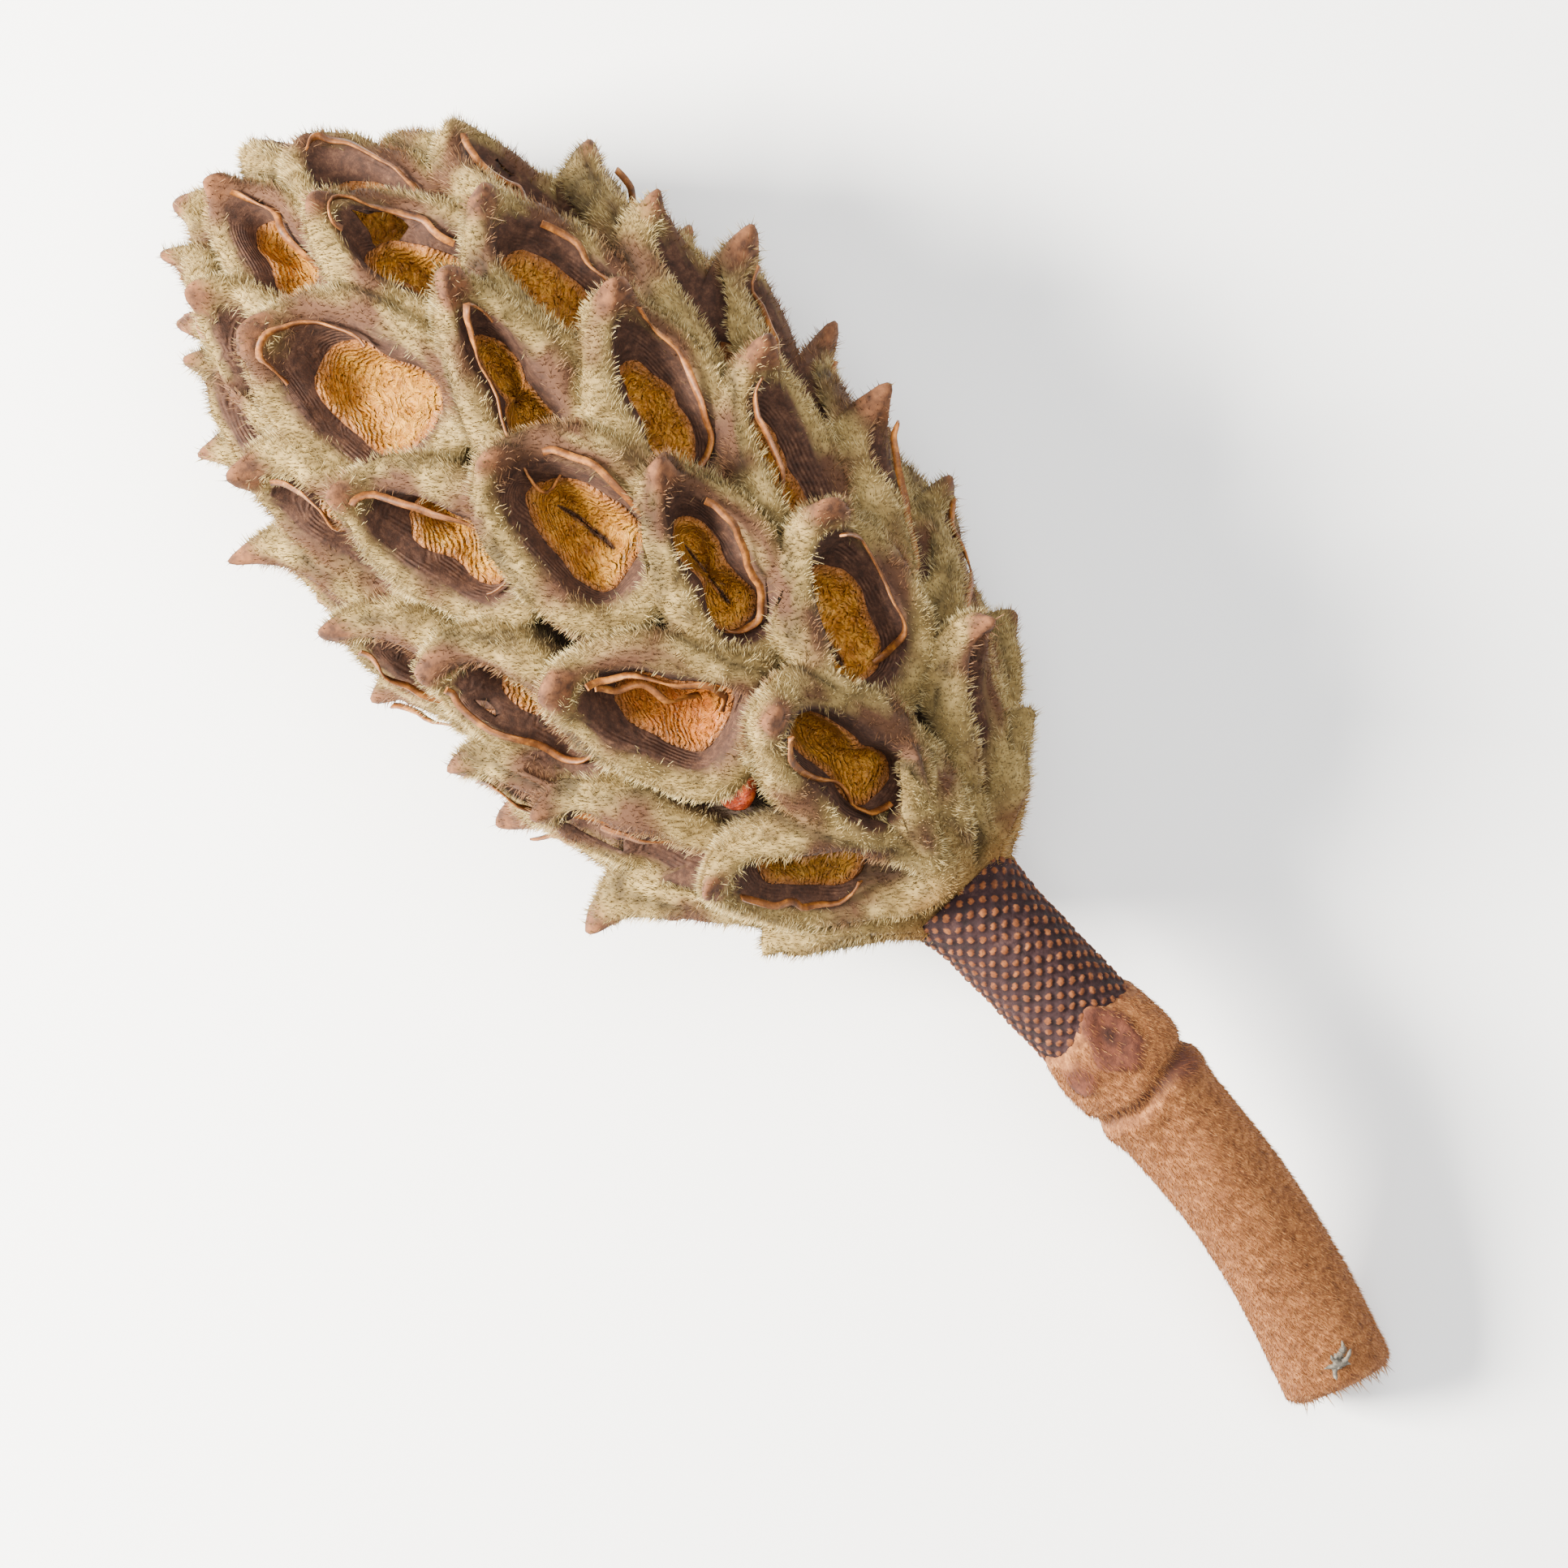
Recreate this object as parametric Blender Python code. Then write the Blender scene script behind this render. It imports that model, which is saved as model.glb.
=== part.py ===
"""Magnolia seed pod on its twig: a felted head of split, empty follicles on one axis, the dark band of
stamen scars below it, the twig with its bract scars and its cut end, and one shrunken seed left in a gap.

The pod lies on its side. +X runs along the head's axis from the twig to the tip, +Z is up, and the origin
is at the centre of the underside of its bounding box. Lengths are in millimetres, turned to metres at the end.
"""

import math
import random

import bmesh
import bpy
import numpy as np
from mathutils import Vector

MM = 0.001

# Clearance between neighbouring pieces, and the size of slivers that a Boolean leaves.
GAP = 0.3
SLIVER = 0.01

# Where the head's axis starts, at the joint with the scar band, in the finished frame.
AXIS_START = (-17.9, 0.3, 20.6)

# Head: the surface that the openings of the follicles lie on, as (distance along the axis, radius).
OPENING_PROFILE = ((0.0, 7.0), (4.0, 10.6), (10.0, 15.2), (18.0, 18.6), (30.0, 20.6),
                   (45.0, 21.4), (60.0, 20.5), (70.0, 17.6), (78.0, 13.3), (84.0, 8.5), (87.0, 5.0))
CORE_DEPTH = 4.6
CORE_END = 80.0
CORE_SIDES = 20
HEAD_LEAN = 2.2
LEAN_FROM = 45.0
CORE_RINGS = 14

# Spiral: each follicle stands one golden angle round and a small rise up from the one before.
FOLLICLE_COUNT = 69
FIRST_RISE = 4.1
RISE = 1.2
GOLDEN_ANGLE = 137.5
FIRST_ANGLE = 68.5
SCATTER_SEED = 11

# One follicle: a boat-shaped pod, split along its outer side, with the dried style as its beak.
HALF_WIDTH = 5.4
BEAK_END = 7.8
BLUNT_END = 7.2
BEAK_REACH = 1.6
BEAK_RISE = 4.4
BEAK_FADE = (52.0, 76.0)
BEAKS_LEFT = 0.15
BEAK_TAPER = 0.5
MOUTH_WAVE = 0.13
LIP_CURL = 0.45
ROOT_HEIGHT = -11.0
FLOOR_HEIGHT = -6.9
LID_HEIGHT = -2.6
RIM_ANGLES = (0, 24, 80, 148, -148, -80, -24)

# The lowest follicles run down to the scar band in a tail, and the very lowest never opened.
FIRST_OPENED = 6
STUNTED_SPLIT = 0.36
STUNTED_BEAK = 0.4
STUNTED_TOP = -0.2
TAIL_FROM = 23.0
TAIL_SHARE = 0.45
TAIL_DROP = 0.25
TAIL_RIM_ANGLES = (0, 28, 85, 140, 180, -140, -85, -28)

# Rings of one follicle beside its crest: set out in plan, less at the blunt end, dropped, share of the beak.
ROOT_RING = (-2.6, 0.6, None, 0.0)
SHOULDER_RING = (1.8, 0.6, 2.2, 0.6)
CREST_RING = (0.9, 0.0, -0.1, 1.0)
INNER_RING = (-2.2, 0.0, 2.6, 0.35)
MOUTH_RING = (-0.5, 0.0, -0.5, 0.6)

# The follicles that face up grew out of step with the spiral and split by their own amounts, counted from
# the lowest: millimetres along, degrees round, split against the usual width, turn of the beak in degrees.
OWN_GROWTH = {
    6: (-0.3, 1, 1.00, -18), 8: (-2.5, 1, 0.50, 0), 11: (-1.7, 6, 0.78, -10), 14: (2.0, -6, 0.80, 0),
    16: (0.9, -1, 0.95, 8), 19: (2.6, 3, 1.05, -22), 21: (-0.7, 4, 0.40, 5), 24: (2.2, 5, 0.68, 7),
    27: (0.3, -5, 0.90, 0), 29: (-1.5, 6, 0.75, 8), 32: (3.0, 6, 1.08, -9), 35: (-1.0, -6, 0.90, 0),
    37: (0.0, 8, 0.80, 10), 40: (0.4, -2, 0.95, -10), 42: (-2.0, 8, 0.78, 0), 45: (0.0, 6, 0.62, 10),
    48: (-2.0, -5, 0.85, 0), 50: (-1.9, 6, 1.00, -10), 53: (-0.7, -1, 1.27, -13), 58: (-1.3, 4, 0.90, -20),
    61: (-3.0, -7, 0.90, 0), 63: (0.0, -6, 1.05, 0), 66: (-1.5, -8, 0.90, 0),
}
OWN_SIZE = {11: 1.24, 53: 1.04}

# Scar band and twig: the centreline runs back along -X, bends to +Y and droops to the surface.
BAND_LENGTH = 15.0
BAND_RADIUS = 4.75
BAND_FLARE = 0.5
BAND_FLARE_LENGTH = 1.6
SCAR_COLUMNS = 26
SCAR_ROWS = 20
SCAR_RELIEF = 0.28
TWIG_LENGTH = 55.2
TWIG_RADIUS = 5.05
TWIG_WAIST = 0.15
TWIG_SIDES = 24
COARSE_STEP = 1.9
FINE_STEP = 0.5
BEND_START = 22.0
BEND = 5.7
DROOP_POWER = 1.7
END_CLEARANCE = 4.95
UPRIGHT_FROM = 9.0
END_ROUNDING = 0.7
END_ROUNDING_LENGTH = 0.9

# Rings round the twig, as (distance back, half its width, change of radius): node, groove, lip behind it.
NODE = (18.9, 3.1, 0.5)
GROOVE = (21.8, 0.7, -0.65)
LIP = (23.3, 1.4, 0.35)

# Scars where bracts fell, as (distance back, angle, half their width), and how far they stand up.
BRACT_SCARS = ((17.0, 6.0, 2.5), (17.2, -44.0, 1.9), (18.8, 128.0, 2.3))
BRACT_SCAR_RELIEF = 0.35

# The shrunken seed in its gap: place along, round and out from the axis, and half its three sizes.
SEED_RISE = 21.6
SEED_ANGLE = -28.0
SEED_RADIUS = 15.6
SEED_HALF = (2.8, 2.0, 1.4)


def opening_radius(s):
    """Radius of the surface that the openings lie on."""
    stations, radii = zip(*OPENING_PROFILE)
    return float(np.interp(s, stations, radii))


def opening_slope(s):
    """How fast that surface widens, held back at both ends so that the follicles there stand up."""
    step = 2.0
    slope = (opening_radius(s + step) - opening_radius(s - step)) / (2 * step)
    return max(-0.75, min(0.95, slope))


def follicle_scale(s):
    """Size of a follicle against one in the middle of the head."""
    return float(np.interp(s, (4.0, 15.0, 25.0, 68.0, 78.0, 86.0), (0.74, 0.92, 1.0, 0.95, 0.86, 0.68)))


def beak_share(s, angle):
    """How much of its beak a follicle kept: towards the tip they wore short on the -Y side."""
    worn = max(0.0, math.sin(math.radians(angle)))
    return 1 - (1 - BEAKS_LEFT) * worn * float(np.interp(s, BEAK_FADE, (0.0, 1.0)))


def on_axis(s, angle, radius):
    """Point at a distance along the head's axis, turned from straight up towards -Y, and out from the axis."""
    turned = math.radians(angle)
    lean = HEAD_LEAN * max(0.0, (s - LEAN_FROM) / (CORE_END - LEAN_FROM)) ** 2
    return Vector((s, lean - radius * math.sin(turned), radius * math.cos(turned)))


def make_object(name, points, faces, material=None):
    """A mesh object from points in millimetres, measured from the start of the head's axis."""
    mesh = bpy.data.meshes.new(name)
    start = Vector(AXIS_START)
    mesh.from_pydata([(Vector(p) + start) * MM for p in points], [], faces)
    shell = bmesh.new()
    shell.from_mesh(mesh)
    bmesh.ops.recalc_face_normals(shell, faces=shell.faces)
    shell.to_mesh(mesh)
    shell.free()
    obj = bpy.data.objects.new(name, mesh)
    bpy.context.scene.collection.objects.link(obj)
    if material:
        obj.data.materials.append(material)
    return obj


def make_material(name, colour, roughness):
    material = bpy.data.materials.new(name)
    material.use_nodes = True
    shader = material.node_tree.nodes["Principled BSDF"]
    shader.inputs["Base Color"].default_value = (*colour, 1.0)
    shader.inputs["Roughness"].default_value = roughness
    shader.inputs["Metallic"].default_value = 0.0
    return material


def ring_faces(rings, sides):
    """Quads between rings of points, and a fan of one polygon at each end."""
    faces = []
    for ring in range(rings - 1):
        for side in range(sides):
            after = (side + 1) % sides
            low, high = ring * sides, (ring + 1) * sides
            faces.append((low + side, low + after, high + after, high + side))
    faces.append(tuple(reversed(range(sides))))
    faces.append(tuple((rings - 1) * sides + side for side in range(sides)))
    return faces


def beak_pull(turned):
    """How far the lips are drawn out to the beak, by the angle round the opening from it."""
    return 0.62 * math.exp(-abs(turned / 0.42) ** 2.4) + 0.38 * math.exp(-(turned ** 2))


class Follicle:
    """One follicle: its place on the spiral and how far it has split, turned and dried."""

    def __init__(self, number, scatter):
        along_more, round_more, own_split, own_turn = OWN_GROWTH.get(number, (0.0, 0.0, None, None))
        s = FIRST_RISE + RISE * number + along_more
        angle = FIRST_ANGLE - GOLDEN_ANGLE * number + scatter.uniform(-2.5, 2.5) + round_more
        self.size = follicle_scale(s) * scatter.uniform(0.95, 1.05) * OWN_SIZE.get(number, 1.0)
        self.phase = math.radians(GOLDEN_ANGLE * number)
        split, turn = scatter.uniform(0.82, 1.08), scatter.uniform(-13.0, 13.0)
        self.beak = scatter.uniform(0.75, 1.15) * beak_share(s, angle)
        self.opened = number >= FIRST_OPENED
        if not self.opened:
            own_split = STUNTED_SPLIT
            self.beak *= STUNTED_BEAK
        self.half_width = HALF_WIDTH * (own_split or split)
        self.tail = max(0.0, TAIL_FROM - s) * TAIL_SHARE
        turned = math.radians(turn if own_turn is None else own_turn)
        slope = opening_slope(s)
        outward = on_axis(0.0, angle, 1.0)
        along = Vector((1.0, 0.0, 0.0))
        self.normal = (outward - slope * along).normalized()
        up = (along + slope * outward).normalized()
        side = up.cross(self.normal)
        self.up = up * math.cos(turned) + side * math.sin(turned)
        self.side = self.up.cross(self.normal)
        self.centre = on_axis(s, angle, opening_radius(s))

    def place(self, across, along, height):
        """Point of this follicle, from millimetres across, along and above its opening at full size."""
        local = self.side * across + self.up * along + self.normal * height
        return self.centre + local * self.size

    def rim(self, turned):
        """The crest of the lips at an angle from the beak: across, along and above the opening."""
        lean, wide = math.cos(turned), math.sin(turned)
        taper = 1 - 0.12 * lean - 0.22 * max(0.0, lean) ** 2
        wave = 1 + MOUTH_WAVE * math.sin(2 * turned + self.phase)
        curl = LIP_CURL * math.sin(3 * turned + 2 * self.phase)
        across = self.half_width * math.copysign(abs(wide) ** 0.85, wide) * taper * wave
        along = lean * (BEAK_END if lean > 0 else BLUNT_END)
        return across, along, -0.8 + 1.8 * lean + 0.8 * wide ** 2 + curl

    def ring(self, outset, less_at_blunt_end, drop, beak_share, tail):
        """One ring of points beside the crest, at the root's height where it has no drop of its own."""
        points = []
        for degrees in TAIL_RIM_ANGLES if self.tail else RIM_ANGLES:
            turned = math.radians(degrees)
            across, along, top = self.rim(turned)
            reach = math.hypot(across, along)
            blunt = max(0.0, -math.cos(turned)) ** 2
            thinner = BEAK_TAPER * max(0.0, outset) * math.exp(-((turned / 0.5) ** 2))
            stretch = (reach + outset - thinner - less_at_blunt_end * blunt) / reach
            level = ROOT_HEIGHT if drop is None else top - drop
            pull = beak_share * self.beak * beak_pull(turned)
            trail = tail * math.exp(-(((math.pi - abs(turned)) / 0.5) ** 2))
            points.append(self.place(across * stretch, along * stretch + BEAK_REACH * pull - trail,
                                     level + BEAK_RISE * pull - TAIL_DROP * trail))
        return points

    def body(self, name):
        """The follicle without its cavity: root, shoulder and crest, closed by a fan just below the crest."""
        top = LID_HEIGHT if self.opened else STUNTED_TOP
        return self.stack(name, (ROOT_RING, SHOULDER_RING, CREST_RING), self.place(0, 0, top), self.tail)

    def cavity(self, name):
        """The open inside of the follicle, from the floor of the seed bed to just above the crest."""
        return self.stack(name, (MOUTH_RING, INNER_RING), self.place(0, 0, FLOOR_HEIGHT), 0.0)

    def stack(self, name, ring_sizes, tip, tail):
        """A closed solid through rings of points, from a flat end to a fan that meets in one point."""
        rings = [self.ring(*ring, tail) for ring in ring_sizes]
        sides = len(rings[0])
        points = [point for ring in rings for point in ring]
        faces = ring_faces(len(rings), sides)
        faces.pop()
        last = (len(rings) - 1) * sides
        faces += [(last + i, last + (i + 1) % sides, len(points)) for i in range(sides)]
        return make_object(name, points + [tip], faces)


def core_solid():
    """The woody axis that carries the follicles, from the scar band to near the tip."""
    points = []
    for ring in range(CORE_RINGS):
        s = GAP + (CORE_END - GAP) * ring / (CORE_RINGS - 1)
        radius = max(opening_radius(s) - CORE_DEPTH, BAND_RADIUS)
        points += [on_axis(s, 360 * side / CORE_SIDES, radius) for side in range(CORE_SIDES)]
    return make_object("core", points, ring_faces(CORE_RINGS, CORE_SIDES))


def join_in(target, others, operation):
    """Applies one Boolean of a collection of helpers to an object, and removes the helpers."""
    helpers = bpy.data.collections.new("helpers")
    bpy.context.scene.collection.children.link(helpers)
    for other in others:
        helpers.objects.link(other)
        bpy.context.scene.collection.objects.unlink(other)
    modifier = target.modifiers.new("join", "BOOLEAN")
    modifier.operation = operation
    modifier.operand_type = "COLLECTION"
    modifier.collection = helpers
    modifier.solver = "MANIFOLD"
    graph = bpy.context.evaluated_depsgraph_get()
    mesh = bpy.data.meshes.new_from_object(target.evaluated_get(graph))
    target.modifiers.remove(modifier)
    target.data = mesh
    for other in others:
        bpy.data.objects.remove(other)
    bpy.data.collections.remove(helpers)


def keep_main_body(target):
    """Drops the loose scraps that the cavities leave, and fills any hollow that the fusing sealed."""
    shape = bmesh.new()
    shape.from_mesh(target.data)
    bmesh.ops.dissolve_degenerate(shape, dist=SLIVER * MM, edges=shape.edges)
    bmesh.ops.triangulate(shape, faces=shape.faces)
    unseen = set(shape.faces)
    bodies = []
    while unseen:
        body = [unseen.pop()]
        for face in body:
            beside = {other for edge in face.edges if len(edge.link_faces) == 2 for other in edge.link_faces}
            body += beside & unseen
            unseen -= beside
        bodies.append(body)
    bodies.sort(key=len)
    bmesh.ops.delete(shape, geom=[face for body in bodies[:-1] for face in body], context="FACES")
    shape.to_mesh(target.data)
    shape.free()


def centreline(back):
    """Point on the middle of the band and twig, so far back from the head."""
    bent = max(0.0, (back - BEND_START) / (TWIG_LENGTH - BEND_START))
    drop = AXIS_START[2] - END_CLEARANCE
    return Vector((-back, BEND * bent ** 2, -drop * (max(0.0, back) / TWIG_LENGTH) ** DROOP_POWER))


def tube_point(back, turned, radius):
    """Point on a ring round the centreline, turned from straight up towards -Y. The cut end stands upright."""
    step = 0.05
    ahead = centreline(back - step) - centreline(back + step)
    upright = max(0.0, 1 - (TWIG_LENGTH - back) / UPRIGHT_FROM)
    ahead.z *= 1 - upright * upright * (3 - 2 * upright)
    ahead.normalize()
    side = Vector((0.0, 0.0, 1.0)).cross(ahead).normalized()
    up = ahead.cross(side)
    return centreline(back) + radius * (up * math.cos(turned) - side * math.sin(turned))


def tube(name, stations, sides, radius_at, material):
    """A closed tube along the centreline, its rings at the stations and its radius a function of place."""
    points = []
    for row, back in enumerate(stations):
        for column in range(sides):
            turned = 2 * math.pi * column / sides
            points.append(tube_point(back, turned, radius_at(back, turned, row, column)))
    return make_object(name, points, ring_faces(len(stations), sides), material)


def band_radius(back, turned, row, column):
    """Scar band: each second point of the net is the raised scar that a stamen left."""
    inner = 0 < row < SCAR_ROWS
    raised = SCAR_RELIEF if inner and (row + column) % 2 == 0 else 0.0
    return BAND_RADIUS + raised + BAND_FLARE * math.exp(-back / BAND_FLARE_LENGTH)


def twig_radius(back, turned, row, column):
    """Twig: swollen at the node, grooved round behind it, with raised round bract scars."""
    radius = TWIG_RADIUS
    for at, half, change in (NODE, GROOVE, LIP):
        radius += change * math.exp(-(((back - at) / half) ** 2))
    below_lip = max(0.0, back - LIP[0]) / (TWIG_LENGTH - LIP[0])
    radius -= TWIG_WAIST * math.sin(math.pi * below_lip)
    for at, angle, half in BRACT_SCARS:
        around = (math.degrees(turned) - angle + 180) % 360 - 180
        away = math.hypot(back - at, math.radians(around) * radius) / half
        radius += BRACT_SCAR_RELIEF * max(0.0, 1 - away ** 4)
    rounding = max(0.0, 1 - (TWIG_LENGTH - back) / END_ROUNDING_LENGTH)
    return radius - END_ROUNDING * rounding ** 2


def twig_stations():
    """Rings along the twig, closer together at the node, its groove and the cut end."""
    stations = [BAND_LENGTH]
    while stations[-1] < TWIG_LENGTH - END_ROUNDING_LENGTH:
        fine = abs(stations[-1] - GROOVE[0]) < 3.2 * GROOVE[1]
        stations.append(stations[-1] + (FINE_STEP if fine else COARSE_STEP))
    stations[-1] = TWIG_LENGTH - END_ROUNDING_LENGTH
    return stations + [TWIG_LENGTH - END_ROUNDING_LENGTH / 3, TWIG_LENGTH]


def floor_cutter():
    """A block below the surface that the pod lies on: it leaves small flats on the lowest beaks and lips."""
    low = -AXIS_START[2]
    corners = [(x, y, z) for x in (-10.0, 100.0) for y in (-40.0, 40.0) for z in (low - 20.0, low)]
    faces = [(0, 1, 3, 2), (4, 6, 7, 5), (0, 4, 5, 1), (2, 3, 7, 6), (0, 2, 6, 4), (1, 5, 7, 3)]
    return make_object("floor_cutter", corners, faces)


def socket_cutter():
    """The room that the scar band takes where the lowest follicles hang down round it."""
    sides = 20
    points = []
    for back in (-GAP / 2, 6.0, 12.0):
        points += [tube_point(back, 2 * math.pi * side / sides, BAND_RADIUS + BAND_FLARE + 3 * GAP)
                   for side in range(sides)]
    return make_object("socket_cutter", points, ring_faces(3, sides))


def seed_cutter():
    """The pocket that the seed lies in, a little wider than the seed all round."""
    cutter = seed_solid(None, grow=GAP + 0.1)
    cutter.name = "seed_cutter"
    return cutter


def seed_solid(material, grow=0.0):
    """A seed dried in its red skin: a flattened, wrinkled bean."""
    rings, sides = 9, 14
    points = []
    for ring in range(rings):
        tilt = math.pi * (ring + 0.35) / (rings - 0.3)
        for side in range(sides):
            turned = 2 * math.pi * side / sides
            crease = 1 - 0.10 * math.cos(3 * turned + 2.0) * math.sin(tilt)
            points.append((SEED_HALF[0] * math.cos(tilt), SEED_HALF[1] * crease * math.sin(tilt) * math.cos(turned),
                           SEED_HALF[2] * crease * math.sin(tilt) * math.sin(turned)))
    place = seed_place(grow)
    return make_object("seed", [place(*point) for point in points], ring_faces(rings, sides), material)


def seed_place(grow=0.0):
    """A function from the seed's own axes to its place in the gap between the follicles."""
    centre = on_axis(SEED_RISE, SEED_ANGLE, SEED_RADIUS)
    out = on_axis(0.0, SEED_ANGLE, 1.0)
    side = Vector((1.0, 0.0, 0.0)).cross(out)
    long = (Vector((0.8, 0.0, 0.0)) + side * 0.6).normalized()
    across = out.cross(long)

    def place(x, y, z):
        scale = [1 + grow / half for half in SEED_HALF]
        return centre + long * x * scale[0] + across * y * scale[1] + out * z * scale[2]

    return place


def main():
    for obj in list(bpy.data.objects):
        bpy.data.objects.remove(obj)
    felt = make_material("follicle felt", (0.42, 0.35, 0.20), 0.95)
    scarred = make_material("scar band bark", (0.09, 0.045, 0.045), 0.7)
    bark = make_material("twig felt", (0.42, 0.23, 0.12), 0.95)
    aril = make_material("dried seed skin", (0.52, 0.10, 0.03), 0.45)

    scatter = random.Random(SCATTER_SEED)
    head = core_solid()
    head.name = "head"
    head.data.materials.append(felt)
    follicles = [Follicle(number, scatter) for number in range(FOLLICLE_COUNT)]
    join_in(head, [follicle.body("body") for follicle in follicles], "UNION")
    opened = [follicle for follicle in follicles if follicle.opened]
    join_in(head, [follicle.cavity("cavity") for follicle in opened], "DIFFERENCE")
    join_in(head, [floor_cutter(), socket_cutter(), seed_cutter()], "DIFFERENCE")
    keep_main_body(head)

    rows = [GAP + (BAND_LENGTH - 2 * GAP) * row / SCAR_ROWS for row in range(SCAR_ROWS + 1)]
    tube("scar_band", rows, SCAR_COLUMNS, band_radius, scarred)
    tube("twig", twig_stations(), TWIG_SIDES, twig_radius, bark)
    seed_solid(aril)


main()
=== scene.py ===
"""Looks of a dried southern magnolia seed pod: felted follicles with golden seed beds and curled strips of
lining, wool, the dark band of stamen scars, the felted twig and one shrunken seed. Lengths are in millimetres
unless a name says otherwise, and each mesh is turned to metres when it is made.
"""

import math
import random

import bmesh
import bpy
import numpy as np
from mathutils import Matrix, Vector, noise


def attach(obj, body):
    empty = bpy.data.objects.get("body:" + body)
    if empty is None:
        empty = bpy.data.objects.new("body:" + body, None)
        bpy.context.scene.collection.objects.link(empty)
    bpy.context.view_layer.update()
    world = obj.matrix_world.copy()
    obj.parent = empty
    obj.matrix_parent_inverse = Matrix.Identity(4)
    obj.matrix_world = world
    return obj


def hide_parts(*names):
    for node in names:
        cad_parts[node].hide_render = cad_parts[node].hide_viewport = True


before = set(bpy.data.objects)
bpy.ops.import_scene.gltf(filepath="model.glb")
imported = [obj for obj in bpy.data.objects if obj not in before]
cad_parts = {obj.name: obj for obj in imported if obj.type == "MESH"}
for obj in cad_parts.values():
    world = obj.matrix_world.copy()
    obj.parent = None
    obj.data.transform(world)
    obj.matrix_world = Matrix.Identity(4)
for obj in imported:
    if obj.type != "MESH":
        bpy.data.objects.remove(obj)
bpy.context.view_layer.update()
MM = 0.001

# The table: a plain pale surface that the pod lies on, seen from straight above as in the photograph, under a
# large soft light from the left, a weaker one overhead and an even pale surround.
TABLE_HALF = 600.0
TABLE_WHITE = "FDFDFC"
PHOTO_WIDTH = 1932
MM_PER_PIXEL = 0.07
VIEW_CENTRE = (0.5, 4.9)
VIEW_DISTANCE = 450.0
VIEW_LEVEL = 25.0
VIEW_RIGHT = (-0.693, -0.721, 0.0)
VIEW_UP = (0.721, -0.693, 0.0)
SENSOR = 36.0


def linear(code, alpha=1.0):
    """An sRGB hex colour as linear RGBA."""
    values = [int(code[i:i + 2], 16) / 255 for i in (0, 2, 4)]
    return tuple(v / 12.92 if v <= 0.04045 else ((v + 0.055) / 1.055) ** 2.4 for v in values) + (alpha,)


def add(tree, kind, inputs=None, **settings):
    """Adds a node with its settings. Inputs, by name or number, take a value or another node's output."""
    node = tree.nodes.new(kind)
    for name, value in settings.items():
        setattr(node, name, value)
    for name, value in (inputs or {}).items():
        if isinstance(value, bpy.types.NodeSocket):
            tree.links.new(value, node.inputs[name])
        else:
            node.inputs[name].default_value = value
    return node


def new_material(name, roughness, specular=0.5):
    """A material with one Principled BSDF, its tree and that shader."""
    material = bpy.data.materials.new(name)
    material.use_nodes = True
    shader = material.node_tree.nodes["Principled BSDF"]
    shader.inputs["Roughness"].default_value = roughness
    shader.inputs["Specular IOR Level"].default_value = specular
    return material, material.node_tree, shader


def new_object(name, points, faces, material=None, smooth=True):
    """A mesh object at the origin, from points in millimetres."""
    mesh = bpy.data.meshes.new(name)
    mesh.from_pydata((np.asarray(points, float) * MM).tolist(), [], faces)
    if smooth:
        mesh.shade_smooth()
    obj = bpy.data.objects.new(name, mesh)
    bpy.context.scene.collection.objects.link(obj)
    if material:
        mesh.materials.append(material)
    return obj


paper, tree, shader = new_material("matte white table", 0.9)
shader.inputs["Base Color"].default_value = linear(TABLE_WHITE)
corners = [(x * TABLE_HALF, y * TABLE_HALF, 0.0) for x, y in ((-1, -1), (1, -1), (1, 1), (-1, 1))]
table = new_object("table", corners, [(0, 1, 2, 3)], paper, smooth=False)

camera = bpy.data.objects.new("camera", bpy.data.cameras.new("camera"))
bpy.context.scene.collection.objects.link(camera)
turn = Matrix((VIEW_RIGHT, VIEW_UP, (0.0, 0.0, 1.0))).transposed().to_4x4()
turn.translation = Vector((*VIEW_CENTRE, VIEW_LEVEL + VIEW_DISTANCE)) * MM
camera.matrix_world = turn
camera.data.sensor_width = SENSOR
camera.data.lens = SENSOR * VIEW_DISTANCE / (PHOTO_WIDTH * MM_PER_PIXEL)
camera.data.clip_start = 0.01
bpy.context.scene.camera = camera


def add_light(name, right, up, height, size, watts, colour):
    """A square soft light, placed in millimetres in the picture's own directions, aimed at the pod."""
    light = bpy.data.lights.new(name, "AREA")
    light.size = size * MM
    light.energy = watts
    light.color = linear(colour)[:3]
    lamp = bpy.data.objects.new(name, light)
    bpy.context.scene.collection.objects.link(lamp)
    place = Vector(VIEW_RIGHT) * right + Vector(VIEW_UP) * up + Vector((0.0, 0.0, height))
    lamp.location = place * MM
    lamp.rotation_euler = (-place).to_track_quat("-Z", "Y").to_euler()


add_light("window light", -400.0, 10.0, 320.0, 170.0, 19.0, "FFFAF0")
add_light("overhead light", 60.0, 60.0, 520.0, 360.0, 4.0, "FFFFFF")
surround = bpy.data.worlds.new("pale surround")
surround.use_nodes = True
surround.node_tree.nodes["Background"].inputs["Color"].default_value = linear("F4F5F7")
surround.node_tree.nodes["Background"].inputs["Strength"].default_value = 0.64
bpy.context.scene.world = surround

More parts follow.
